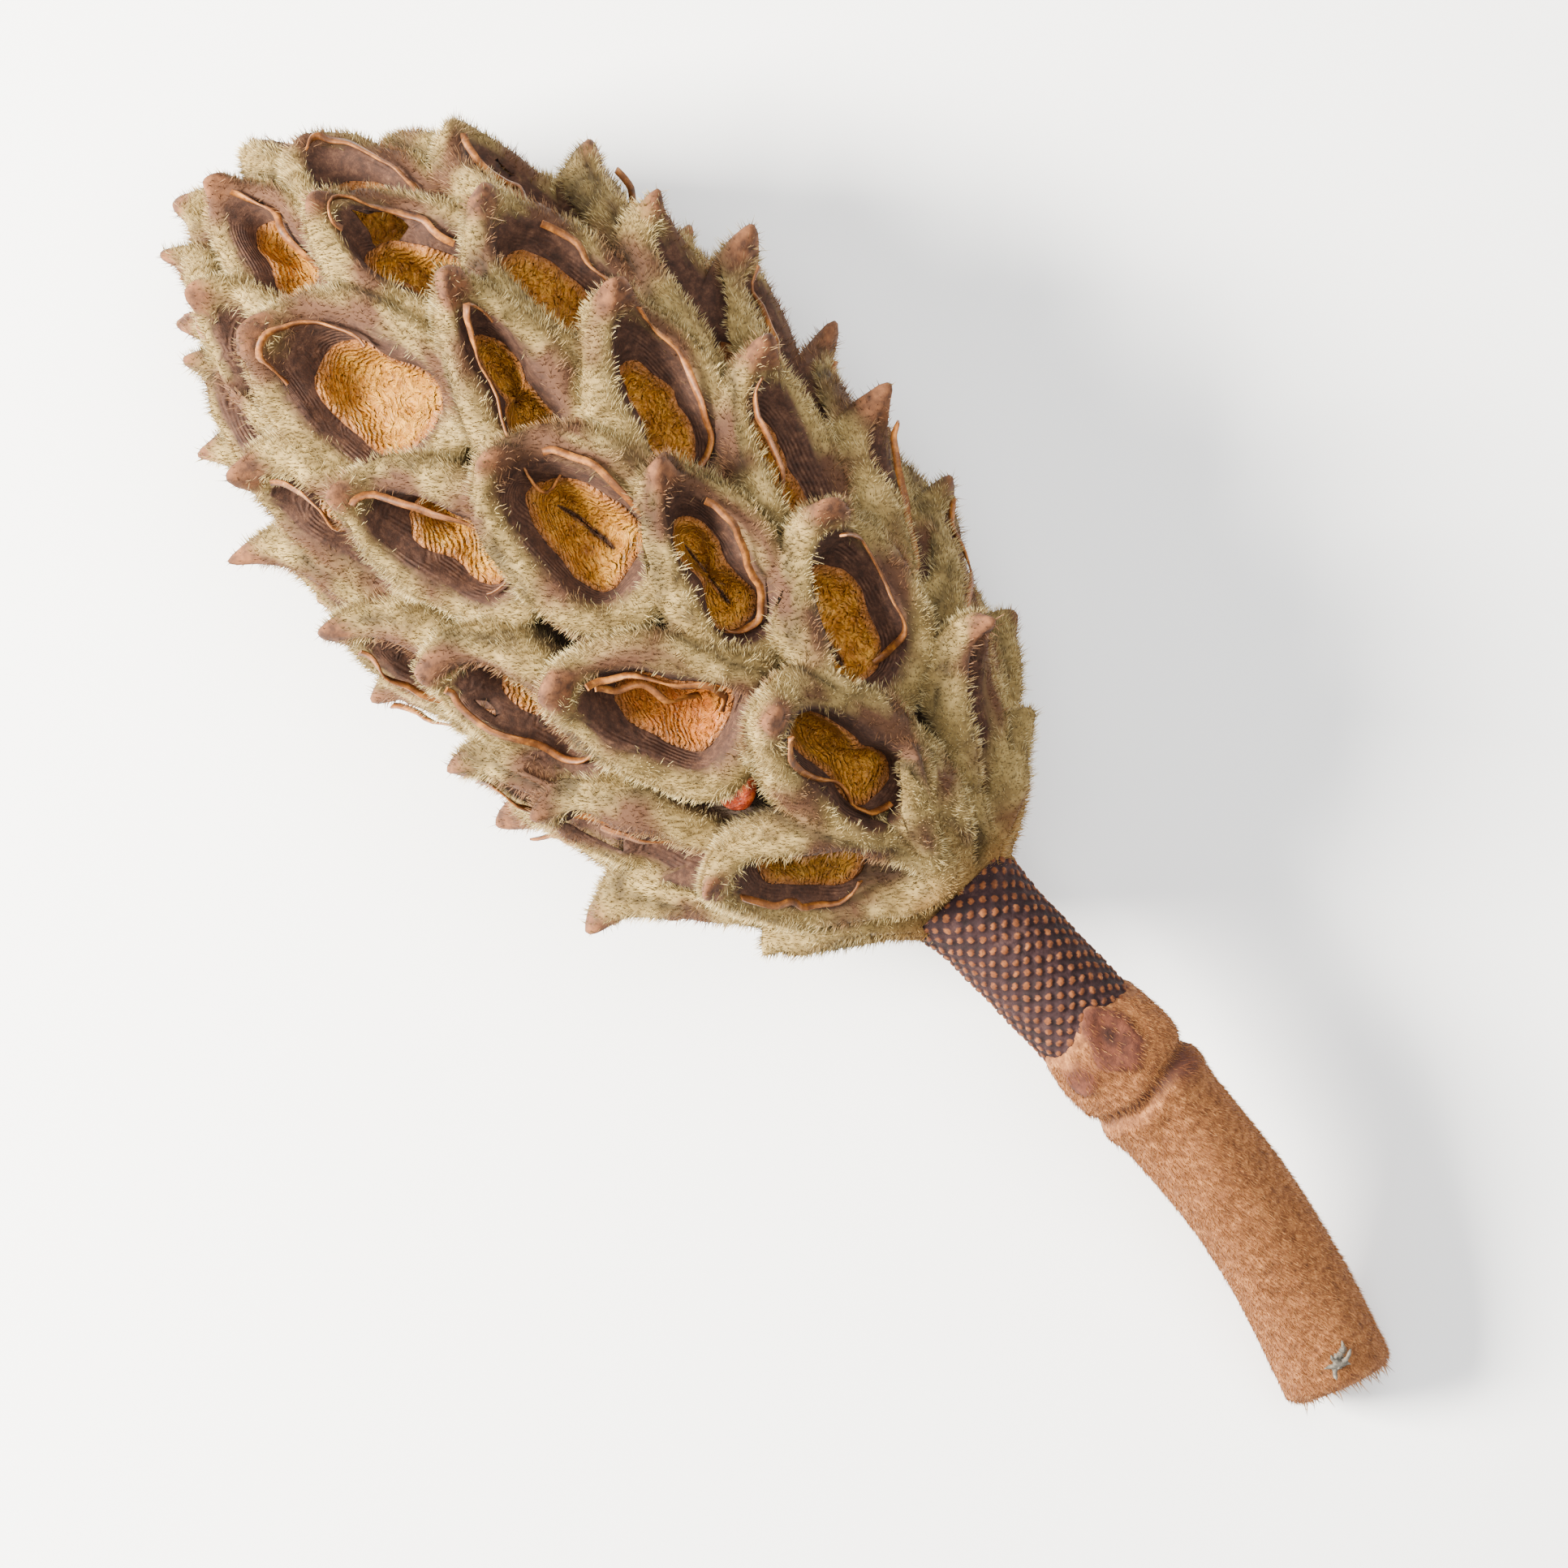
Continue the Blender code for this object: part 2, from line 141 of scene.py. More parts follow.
# The head: 69 woody follicles on a spiral, each a boat split along its outer side and drawn out to a beak by
# the dried style. They grew fused to one axis and to each other, so their bodies are joined into one skin,
# and then each one's open inside is cut out of it.
AXIS_START = np.array((-17.9, 0.3, 20.6))
OPENING_PROFILE = ((0.0, 7.0), (4.0, 10.6), (10.0, 15.2), (18.0, 18.6), (30.0, 20.6),
                   (45.0, 21.4), (60.0, 20.5), (70.0, 17.6), (78.0, 13.3), (84.0, 8.5), (87.0, 5.0))
CORE_DEPTH = 4.6
CORE_END = 80.0
APEX_RISE = 1.4
HEAD_LEAN = 2.2
LEAN_FROM = 45.0
BAND_RADIUS = 4.75
FOLLICLE_COUNT = 69
FIRST_OPENED = 6
STUNTED_SPLIT = 0.36
TAIL_FROM = 23.0
TAIL_SHARE = 0.45
TAIL_DROP = 0.25
FIRST_RISE = 4.1
RISE = 1.2
GOLDEN_ANGLE = 137.5
FIRST_ANGLE = 68.5
SCATTER_SEED = 11
HALF_WIDTH = 5.4
BEAK_END = 7.8
BLUNT_END = 7.2
BEAK_REACH = 1.6
BEAK_RISE = 4.4
BEAK_FADE = (52.0, 76.0)
BEAKS_LEFT = 0.15
BEAK_TAPER = 0.55
MOUTH_WAVE = 0.13
LIP_CURL = 0.45

# Growth out of step with the spiral: millimetres along, degrees round, split, turn of the beak in degrees.
# Two follicles also differ in size. Each mouth waves, and its lips curl, out of step with its neighbours'.
OWN_GROWTH = {
    6: (-0.3, 1, 1.00, -18), 8: (-2.5, 1, 0.50, 0), 11: (-1.7, 6, 0.78, -10), 14: (2.0, -6, 0.80, 0),
    16: (0.9, -1, 0.95, 8), 19: (2.6, 3, 1.05, -22), 21: (-0.7, 4, 0.40, 5), 24: (2.2, 5, 0.68, 7),
    27: (0.3, -5, 0.90, 0), 29: (-1.5, 6, 0.75, 8), 32: (3.0, 6, 1.08, -9), 35: (-1.0, -6, 0.90, 0),
    37: (0.0, 8, 0.80, 10), 40: (0.4, -2, 0.95, -10), 42: (-2.0, 8, 0.78, 0), 45: (0.0, 6, 0.62, 10),
    48: (-2.0, -5, 0.85, 0), 50: (-1.9, 6, 1.00, -10), 53: (-0.7, -1, 1.27, -13), 58: (-1.3, 4, 0.90, -20),
    61: (-3.0, -7, 0.90, 0), 63: (0.0, -6, 1.05, 0), 66: (-1.5, -8, 0.90, 0),
}
OWN_SIZE = {11: 1.24, 53: 1.04}
SIZE_ALONG_HEAD = ((4.0, 15.0, 25.0, 68.0, 78.0, 86.0), (0.74, 0.92, 1.0, 0.95, 0.86, 0.68))

# Rings from the root over the lip, and from the seed bed up the inner wall: set out in plan, height above the
# rim or, where "deep", above the opening, and share of the beak's pull.
BODY_RINGS = ((-3.0, -11.0, 0.0, "deep"), (-0.3, -6.2, 0.1, "deep"), (2.2, -3.1, 0.5, "rim"),
              (2.5, -1.5, 0.8, "rim"), (1.8, -0.1, 0.97, "rim"), (0.5, 0.25, 1.0, "rim"),
              (-0.7, -0.35, 0.9, "rim"), (-2.2, -1.9, 0.5, "rim"), (-3.2, -2.8, 0.3, "rim"))
CAVITY_RINGS = ((0.0, 1.9, 0.6, "rim"), (-0.75, 0.3, 0.6, "rim"), (-1.25, -1.0, 0.5, "rim"),
                (-2.1, -2.7, 0.35, "rim"), (-3.2, -5.2, 0.1, "deep"))
AROUND = 44
BODY_STEPS = 17
CAVITY_STEPS = 12
RESTS_AT = 0.05


def opening_radius(s):
    stations, radii = zip(*OPENING_PROFILE)
    return np.interp(s, stations, radii)


def on_axis(s, angle, radius):
    """Point at a distance along the head's axis, turned from straight up towards -Y, and out from the axis."""
    turned = math.radians(angle)
    lean = HEAD_LEAN * max(0.0, (s - LEAN_FROM) / (CORE_END - LEAN_FROM)) ** 2
    return np.array((s, lean - radius * math.sin(turned), radius * math.cos(turned)))


def unit(vector):
    return vector / np.linalg.norm(vector)


class Follicle:
    """One follicle: its place on the spiral, how far it has split, turned and dried, and its ring curves."""

    def __init__(self, number, scatter):
        along_more, round_more, own_split, own_turn = OWN_GROWTH.get(number, (0.0, 0.0, None, None))
        s = FIRST_RISE + RISE * number + along_more
        angle = FIRST_ANGLE - GOLDEN_ANGLE * number + scatter.uniform(-2.5, 2.5) + round_more
        scale = float(np.interp(s, *SIZE_ALONG_HEAD))
        self.size = scale * scatter.uniform(0.95, 1.05) * OWN_SIZE.get(number, 1.0)
        self.phase = math.radians(GOLDEN_ANGLE * number)
        split, turned = scatter.uniform(0.82, 1.08), scatter.uniform(-13.0, 13.0)
        worn = max(0.0, math.sin(math.radians(angle))) * float(np.interp(s, BEAK_FADE, (0.0, 1.0)))
        self.beak = scatter.uniform(0.75, 1.15) * (1 - (1 - BEAKS_LEFT) * worn)
        self.split = own_split or split
        self.opened = number >= FIRST_OPENED
        if not self.opened:
            self.split = STUNTED_SPLIT
            self.beak *= 0.4
        self.tail = max(0.0, TAIL_FROM - s) * TAIL_SHARE
        turned = math.radians(turned if own_turn is None else own_turn)
        slope = max(-0.75, min(0.95, (opening_radius(s + 2.0) - opening_radius(s - 2.0)) / 4.0))
        outward = on_axis(0.0, angle, 1.0)
        along = np.array((1.0, 0.0, 0.0))
        self.normal = unit(outward - slope * along)
        up = unit(along + slope * outward)
        side = np.cross(up, self.normal)
        self.up = up * math.cos(turned) + side * math.sin(turned)
        self.side = np.cross(self.up, self.normal)
        self.centre = AXIS_START + on_axis(s, angle, opening_radius(s))
        self.axes = np.stack((self.side, self.up, self.normal))
        self.number = number

    def place(self, local):
        """Points of this follicle, from millimetres across, along and above its opening at full size."""
        return self.centre + self.size * np.asarray(local) @ self.axes

    def find(self, points):
        """The same, the other way: where points lie across, along and above this follicle's opening."""
        return (points - self.centre) @ self.axes.T / self.size

    def rim(self, turned):
        """The crest of the lips at angles from the beak: across, along and above the opening."""
        lean, wide = np.cos(turned), np.sin(turned)
        taper = 1 - 0.12 * lean - 0.22 * np.maximum(0.0, lean) ** 2
        wave = 1 + MOUTH_WAVE * np.sin(2 * turned + self.phase)
        curl = LIP_CURL * np.sin(3 * turned + 2 * self.phase)
        across = HALF_WIDTH * self.split * np.sign(wide) * np.abs(wide) ** 0.85 * taper * wave
        along = lean * np.where(lean > 0, BEAK_END, BLUNT_END)
        return across, along, -0.8 + 1.8 * lean + 0.8 * wide ** 2 + curl

    def ring(self, turned, outset, height, share, level, tail=0.0):
        """One closed ring of local points beside the crest, drawn out to the beak and to the tail below."""
        across, along, top = self.rim(turned)
        reach = np.hypot(across, along)
        thinner = BEAK_TAPER * max(0.0, outset) * np.exp(-((turned / 0.5) ** 2))
        stretch = (reach + outset - thinner) / reach
        pull = share * self.beak * beak_pull(turned)
        trail = tail * self.tail * np.exp(-(((math.pi - np.abs(turned)) / 0.5) ** 2))
        above = height if level == "deep" else top + height
        return np.stack((across * stretch, along * stretch + BEAK_REACH * pull - trail,
                         above + BEAK_RISE * pull - TAIL_DROP * trail), 1)


def beak_pull(turned):
    """How far the lips are drawn out to the beak, by the angle round the opening from it."""
    return 0.62 * np.exp(-np.abs(turned / 0.42) ** 2.4) + 0.38 * np.exp(-((turned / 1.0) ** 2))


def smooth_rows(rows, count):
    """Catmull-Rom curves through rows of points, at even steps."""
    rows = np.asarray(rows)
    at = np.linspace(0, len(rows) - 1, count)
    low = np.minimum(at.astype(int), len(rows) - 2)
    part = (at - low).reshape(-1, 1, 1)
    a, b, c, d = (rows[np.clip(low + step, 0, len(rows) - 1)] for step in (-1, 0, 1, 2))
    return 0.5 * (2 * b + (c - a) * part + (2 * a - 5 * b + 4 * c - d) * part ** 2
                  + (3 * b - 3 * c + d - a) * part ** 3)


def angles_round(count):
    """Angles round the opening, closer together at the beak."""
    even = np.linspace(-1, 1, count, endpoint=False)
    return math.pi * np.sign(even) * np.abs(even) ** 1.3


def closed_stack(rows, start=None, end=None):
    """Points and faces of a closed solid through rings, its ends a fan to a point or one flat polygon."""
    rings, sides = rows.shape[:2]
    points = rows.reshape(-1, 3).tolist()
    faces = [(low + i, low + (i + 1) % sides, low + sides + (i + 1) % sides, low + sides + i)
             for low in range(0, (rings - 1) * sides, sides) for i in range(sides)]
    for tip, first in ((start, 0), (end, (rings - 1) * sides)):
        if tip is None:
            cap = [first + i for i in range(sides)]
            faces.append(tuple(cap if first else reversed(cap)))
        else:
            points.append(list(tip))
            for i in range(sides):
                pair = (first + i, first + (i + 1) % sides)
                faces.append((*(pair if first else pair[::-1]), len(points) - 1))
    return points, faces


def face_out(mesh):
    """Turns all faces of a closed mesh outwards."""
    shape = bmesh.new()
    shape.from_mesh(mesh)
    bmesh.ops.recalc_face_normals(shape, faces=shape.faces)
    shape.to_mesh(mesh)
    shape.free()


def body_of(follicle):
    """The follicle without its open inside: a lowest one, which never opened, is a closed ridge."""
    turned = angles_round(AROUND)
    rings = BODY_RINGS if follicle.opened else BODY_RINGS[:-3]
    rows = smooth_rows([follicle.ring(turned, *ring, tail=1.0) for ring in rings], BODY_STEPS)
    points, faces = closed_stack(rows, end=(0.0, 0.0, -3.6 if follicle.opened else -0.2))
    obj = new_object("body", follicle.place(points), faces)
    face_out(obj.data)
    return obj


def cavity_rows(follicle, turned, steps):
    """Rings of the open inside, from above the crest to the slit between the two valves."""
    across, along, top = follicle.rim(turned)
    rows = [follicle.ring(turned, *ring) for ring in CAVITY_RINGS]
    rows.append(np.stack((0.14 * across, 0.46 * along, np.full_like(top, -6.3)), 1))
    return smooth_rows(rows, steps)


def cavity_of(follicle):
    rows = cavity_rows(follicle, angles_round(AROUND), CAVITY_STEPS)
    points, faces = closed_stack(rows, end=(0.0, 0.0, -6.9))
    obj = new_object("cavity", follicle.place(points), faces)
    face_out(obj.data)
    return obj


def join_in(target, others, operation):
    """Applies one Boolean of a collection of helpers to an object, and removes the helpers."""
    helpers = bpy.data.collections.new("helpers")
    bpy.context.scene.collection.children.link(helpers)
    for other in others:
        helpers.objects.link(other)
        bpy.context.scene.collection.objects.unlink(other)
    modifier = target.modifiers.new("join", "BOOLEAN")
    modifier.operation = operation
    modifier.operand_type = "COLLECTION"
    modifier.collection = helpers
    modifier.solver = "MANIFOLD"
    applied(target)
    for other in others:
        bpy.data.objects.remove(other)
    bpy.data.collections.remove(helpers)


def applied(obj):
    """Makes what an object's modifiers show its own plain mesh, and removes the modifiers."""
    graph = bpy.context.evaluated_depsgraph_get()
    mesh = bpy.data.meshes.new_from_object(obj.evaluated_get(graph))
    obj.modifiers.clear()
    obj.data = mesh
    mesh.name = obj.name
    return obj


scatter = random.Random(SCATTER_SEED)
follicles = [Follicle(number, scatter) for number in range(FOLLICLE_COUNT)]
stations = np.linspace(0.3, CORE_END, 28)
core = [(s, max(opening_radius(s) - CORE_DEPTH, BAND_RADIUS)) for s in stations]
apex_radius = core[-1][1]
core += [(CORE_END + APEX_RISE * (1 - share ** 2), apex_radius * share) for share in (0.8, 0.55, 0.28)]
core_rings = [[AXIS_START + on_axis(s, angle, radius) for angle in np.arange(0, 360, 10.0)]
              for s, radius in core]
head = new_object("follicles", *closed_stack(np.array(core_rings)))
face_out(head.data)
join_in(head, [body_of(follicle) for follicle in follicles], "UNION")
join_in(head, [cavity_of(follicle) for follicle in follicles if follicle.opened], "DIFFERENCE")
head.data.shade_smooth()


# How the pod grew uneven: millimetres out of place, size of the bumps, and where in the noise they lie. Without
# a seed of its own the noise starts from the clock, and the pod would differ from run to run.
GROWTH_WAVES = ((0.6, 7.0, 3.0), (0.42, 3.4, 5.0), (0.14, 1.6, 9.0))
NOISE_SEED = 7
LOWEST = (-1e9, -1e9, RESTS_AT)
noise.seed_set(NOISE_SEED)


def wander(point, size, seed):
    """Smooth random vector at a point, its bumps about this many millimetres across."""
    return np.array(noise.noise_vector(Vector(point / size) + Vector((seed, 0.0, 0.0))))


def grown(points):
    """Points of the smooth model moved as the pod really grew and shrank, and held above the table."""
    moved = np.array(points)
    for depth, size, seed in GROWTH_WAVES:
        moved = moved + [depth * wander(point, size, seed) for point in points]
    return np.maximum(moved, LOWEST)


points = np.empty(len(head.data.vertices) * 3)
head.data.vertices.foreach_get("co", points)
points = points.reshape(-1, 3) / MM
apex_share = np.hypot(*(points - AXIS_START - on_axis(CORE_END, 0.0, 0.0))[:, 1:].T) / apex_radius
dome = CORE_END + APEX_RISE * (1 - apex_share ** 2)
on_apex = (apex_share < 1.03) & (np.abs(points[:, 0] - AXIS_START[0] - dome) < 0.15)
points = grown(points)
head.data.vertices.foreach_set("co", (points * MM).ravel())


def keep_above_table(obj):
    """Lifts the few points of a finished mesh that would dip into the table."""
    for vertex in obj.data.vertices:
        if vertex.co.z < RESTS_AT * MM:
            vertex.co.z = RESTS_AT * MM


def smooth_step(value, low, high):
    part = np.clip((value - low) / (high - low), 0.0, 1.0)
    return part * part * (3 - 2 * part)


def store(mesh, name, values, kind="FLOAT"):
    """Keeps one value for each vertex as an attribute that a material or the wool reads."""
    attribute = mesh.attributes.new(name, kind, "POINT")
    field = "value" if kind == "FLOAT" else "vector"
    attribute.data.foreach_set(field, np.asarray(values, np.float32).ravel())


# What each point of the skin is, for its material and its wool: how far inside a split, how near a beak's tip
# or a lip's crest, how deep between two follicles, how bare, and which way its hairs are combed.
REACHES_DOWN = -9.0
CREASE_DEPTH = 0.5
lining = np.zeros(len(points))
tip = np.zeros(len(points))
height = np.full(len(points), -20.0)
crest = np.zeros(len(points))
inset = np.zeros(len(points))
bare_lip = np.zeros(len(points))
comb = np.zeros((len(points), 3))
inward = np.zeros((len(points), 3))
nearest = np.full(len(points), 1e9)
second = np.full(len(points), 1e9)
for follicle in follicles:
    local = follicle.find(points)
    turned = np.linspace(-math.pi, math.pi, 97)
    across, along, top = follicle.rim(turned)
    place = np.arctan2(local[:, 0], local[:, 1])
    order = np.argsort(np.arctan2(across, along))
    at = np.arctan2(across, along)[order]
    beside = np.hypot(local[:, 0], local[:, 1]) - np.interp(place, at, np.hypot(across, along)[order])
    over = local[:, 2] - np.interp(place, at, top[order])
    if follicle.opened:
        inside = smooth_step(-beside, -0.15, 0.7) * (over < 1.6) * (local[:, 2] > -8.5)
        lining = np.maximum(lining, inside)
    pull = follicle.beak * np.exp(-((np.hypot(local[:, 0], local[:, 1] - BEAK_END - 1.0)) / 2.6) ** 2)
    tip = np.maximum(tip, smooth_step(pull * (local[:, 2] - 2.0), 0.1, 1.7))
    away = np.where(local[:, 2] > REACHES_DOWN, np.abs(beside) + 0.4 * np.abs(over), 1e9)
    closer = away < nearest
    second = np.minimum(second, np.where(closer, nearest, away))
    nearest = np.minimum(nearest, away)
    inward[closer] = -follicle.normal
    height[closer] = over[closer]
    inset[closer] = np.hypot(beside[closer], over[closer])
    bare_lip[closer] = (np.exp(-((beside[closer] - 0.2) / 1.5) ** 2)
                        * (0.35 + 0.65 * smooth_step(local[closer, 0], -1.5, 3.0)))
    crest[closer] = np.exp(-((beside[closer] - 0.3) / 1.6) ** 2) * smooth_step(over[closer], -2.2, -0.3)
    comb[closer] = 0.75 * follicle.up + 0.25 * follicle.normal
lining[on_apex] = 0.0
height[on_apex] = np.maximum(height[on_apex], -2.0)
cloud = np.array([noise.noise(Vector(point / 9.0) + Vector((40.0, 0.0, 0.0))) for point in points])
# Crease: a groove sunk between follicles, which the felt and wool materials also darken as painted shade.
crease = (np.exp(-((second - nearest) / 0.8) ** 2) * (1 - lining) * smooth_step(nearest, 0.7, 2.0)
          * smooth_step(cloud, -0.45, 0.1))
sunk = np.maximum(points + CREASE_DEPTH * crease.reshape(-1, 1) * inward, LOWEST)
head.data.vertices.foreach_set("co", (sunk * MM).ravel())
store(head.data, "crease", crease)
store(head.data, "lining", lining)
store(head.data, "tip", tip)
store(head.data, "height", height)
store(head.data, "crest", crest)
store(head.data, "inset", inset)
store(head.data, "comb", comb, "FLOAT_VECTOR")
worn = np.array([noise.noise(Vector(point / 4.5)) for point in points])
worn += 0.62 * bare_lip + 0.3 * tip - 0.12
store(head.data, "worn", smooth_step(worn, 0.1, 0.5))
rise = points[:, 0] - AXIS_START[0]
russet = 1 - smooth_step(rise, -0.5, 5.0)
store(head.data, "russet", russet)
covered = np.maximum(smooth_step(height, -7.0, -4.0), 1 - smooth_step(rise, 8.0, 14.0))
store(head.data, "wool", (1 - lining) * (1 - 0.8 * tip) * covered * (1 - 0.4 * crease)
      * (1 - 0.5 * smooth_step(worn, 0.2, 0.6)) * smooth_step(points[:, 2], 1.0, 3.0))

# Husk under felt: dry woody skin whose short wool is worn to the brown in patches. Inside the split it is a
# bare, leathery purple-brown, with fine ribs that follow the rim and swerve. The beaks are bare and reddish.
MM_IN_METRE = 1000.0
RIB_SPACING = 0.38
husk, tree, shader = new_material("felted magnolia husk", 0.85, 0.3)
where = add(tree, "ShaderNodeTexCoord").outputs["Object"]


def read(tree, name):
    """A value that the mesh holds under this name."""
    return add(tree, "ShaderNodeAttribute", attribute_name=name).outputs["Fac"]


def mottle(tree, where, millimetres, detail=4.0, rough=0.6, distort=0.0):
    """Cloudy noise whose patches are this big."""
    inputs = {"Vector": where, "Scale": MM_IN_METRE / millimetres, "Detail": detail, "Roughness": rough,
              "Distortion": distort}
    return add(tree, "ShaderNodeTexNoise", inputs).outputs["Fac"]


def ramp(tree, value, *stops):
    """A colour that follows a value through (place, hex colour) stops."""
    node = add(tree, "ShaderNodeValToRGB", {"Fac": value})
    elements = node.color_ramp.elements
    while len(elements) < len(stops):
        elements.new(1.0)
    for element, (place, code) in zip(elements, stops):
        element.position = place
        element.color = linear(code)
    return node.outputs["Color"]


def blend(tree, share, first, second, kind="MIX"):
    """Two colours mixed by a share, which is a number or an output."""
    inputs = {0: share, 6: first, 7: second}
    return add(tree, "ShaderNodeMix", inputs, data_type="RGBA", blend_type=kind).outputs[2]


def spread(tree, value, low, high):
    """A value stretched so that low becomes 0 and high becomes 1."""
    node = add(tree, "ShaderNodeMapRange", {"Value": value, "From Min": low, "From Max": high})
    return node.outputs["Result"]


felt = ramp(tree, mottle(tree, where, 2.6, 6.0, 0.65), (0.30, "46361C"), (0.46, "745F34"), (0.62, "9C8450"))
felt = blend(tree, read(tree, "worn"), felt, linear("4C301D"))
felt = blend(tree, read(tree, "russet"), felt, linear("7E5A2C"))
# Painted shade: the felt darkens in the creases between follicles and in the valleys below the lips.
felt = blend(tree, spread(tree, read(tree, "crease"), 0.0, 1.2), felt, linear("241A0C"))
felt = blend(tree, spread(tree, read(tree, "height"), -2.2, -4.5), felt, linear("2E2015"))
skin = ramp(tree, mottle(tree, where, 0.9, 8.0, 0.8),
            (0.3, "1E120C"), (0.5, "3D2519"), (0.64, "573A29"), (0.74, "8C6C52"))
skin = blend(tree, spread(tree, read(tree, "height"), -3.0, -6.0), skin, linear("3E2415"))
beaks = ramp(tree, mottle(tree, where, 1.2, 5.0, 0.6), (0.35, "3C2314"), (0.65, "764A2C"))
colour = blend(tree, read(tree, "lining"), felt, skin)
colour = blend(tree, read(tree, "tip"), colour, beaks)
tree.links.new(colour, shader.inputs["Base Color"])
swerve = spread(tree, mottle(tree, where, 1.6, 5.0, 0.7), 0.0, 0.045)
ribs = add(tree, "ShaderNodeMath", {0: read(tree, "inset"), 1: 2 * math.pi / RIB_SPACING, 2: swerve},
           operation="MULTIPLY_ADD")
ribs = add(tree, "ShaderNodeMath", {0: ribs.outputs[0]}, operation="SINE").outputs[0]
plain = spread(tree, mottle(tree, where, 2.8, 3.0), 0.4, 0.9)
fading = add(tree, "ShaderNodeMath", {0: read(tree, "lining"), 1: plain}, operation="MULTIPLY").outputs[0]
ribs = add(tree, "ShaderNodeMath", {0: ribs, 1: fading, 2: mottle(tree, where, 0.5, 8.0, 0.75)},
           operation="MULTIPLY_ADD")
grain = add(tree, "ShaderNodeBump", {"Height": ribs.outputs[0], "Strength": 0.6, "Distance": 0.16 * MM})
tree.links.new(grain.outputs["Normal"], shader.inputs["Normal"])
head.data.materials.clear()
head.data.materials.append(husk)
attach(head, "root")
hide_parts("head")

# Seed beds: the smooth, honey-coloured inner layer that each seed lay against, dried to fine wrinkles. It lines
# the lower part of each split down to the slit between the two valves, and ends in a crisp edge.
BED_AROUND = 32
BED_STEPS = 11
BED_EDGE = 0.585
BED_EDGE_AT_BEAK = 0.12
BED_STANDS_OFF = 0.28
BED_BITES_IN = 0.5
BED_SLIT_HEIGHT = -6.35
ORANGE_BED = 19
WRINKLE_SPACING = 0.48

# A wave texture set diagonally has its bands one millimetre apart at this scale.
WAVE_PER_METRE = 363.0


def bed_of(follicle):
    """Points, faces and depths of one bed, a thin closed shell that bites into the wall behind it."""
    turned = np.linspace(-math.pi, math.pi, BED_AROUND, endpoint=False)
    fine = cavity_rows(follicle, turned, 81)
    across, along, _ = follicle.rim(turned)
    edge = BED_EDGE + BED_EDGE_AT_BEAK * np.exp(-((turned / 0.75) ** 2))
    edge += [0.035 * noise.noise(Vector((2.0 * math.cos(t), 2.0 * math.sin(t), follicle.number)))
             for t in turned]
    column = np.arange(BED_AROUND)
    rows = []
    for share in np.linspace(0.0, 1.0, BED_STEPS) ** 0.85:
        at = (edge + (0.99 - edge) * share) * 80
        low = at.astype(int)
        part = (at - low).reshape(-1, 1)
        row = fine[low, column] * (1 - part) + fine[np.minimum(low + 1, 80), column] * part
        inward = row * (1.0, 1.0, 0.0) / np.maximum(np.hypot(row[:, 0], row[:, 1]), 0.3).reshape(-1, 1)
        rows.append((row, inward))
    top = [row - inward * BED_STANDS_OFF * (0.2 + 0.8 * (i > 0)) + (0, 0, BED_STANDS_OFF)
           for i, (row, inward) in enumerate(rows)]
    top.append(np.stack((0.02 * across, 0.40 * along, np.full(BED_AROUND, BED_SLIT_HEIGHT)), 1))
    under = [rows[i][0] + rows[i][1] * BED_BITES_IN - (0, 0, 0.35) for i in (0, 4, BED_STEPS - 1)]
    stack = np.array(under[::-1] + top)
    points, faces = closed_stack(stack)
    # How dark the painted shade in the slit is: full on every fourth bed, a little less on the rest.
    slit = 0.84 if follicle.number % 4 else 1.0
    deep = np.concatenate((np.zeros(3), np.linspace(0, 0.8, BED_STEPS), (slit,)))
    return follicle.place(points), faces, np.repeat(deep, BED_AROUND)


bed_points, bed_faces, bed_deep, bed_tone = [], [], [], []
for follicle in follicles:
    if follicle.opened:
        points, faces, deep = bed_of(follicle)
        first = sum(len(group) for group in bed_points)
        bed_faces += [tuple(first + i for i in face) for face in faces]
        bed_points.append(points)
        bed_deep.append(deep)
        tone = 1.5 if follicle.number == ORANGE_BED else (follicle.number * 0.618) % 1.0
        bed_tone.append(np.full(len(points), tone))

honey, tree, shader = new_material("honey satin inner husk", 0.42, 0.25)
beds = new_object("seed_beds", grown(np.concatenate(bed_points)), bed_faces, honey)
face_out(beds.data)
store(beds.data, "deep", np.concatenate(bed_deep))
store(beds.data, "tone", np.concatenate(bed_tone))
where = add(tree, "ShaderNodeTexCoord").outputs["Object"]
waves = {"Vector": where, "Scale": WAVE_PER_METRE / WRINKLE_SPACING, "Distortion": 15.0,
         "Detail": 3.0, "Detail Scale": 0.5, "Detail Roughness": 0.55}
folds = add(tree, "ShaderNodeTexWave", waves, wave_type="BANDS", bands_direction="DIAGONAL").outputs["Fac"]
gold = ramp(tree, mottle(tree, where, 1.8, 6.0, 0.65), (0.3, "6C4814"), (0.5, "9C6C1E"), (0.72, "C4943A"))
# Painted shade in the valleys of the wrinkles and a painted highlight on their ridges, on the same bands as the
# bump.
gold = blend(tree, spread(tree, folds, 0.4, -1.3), gold, linear("5E3608"))
gold = blend(tree, spread(tree, folds, 0.85, 1.6), gold, linear("DCA848"))
gold = blend(tree, spread(tree, read(tree, "tone"), 0.5, 2.4), gold, linear("B4551C"))
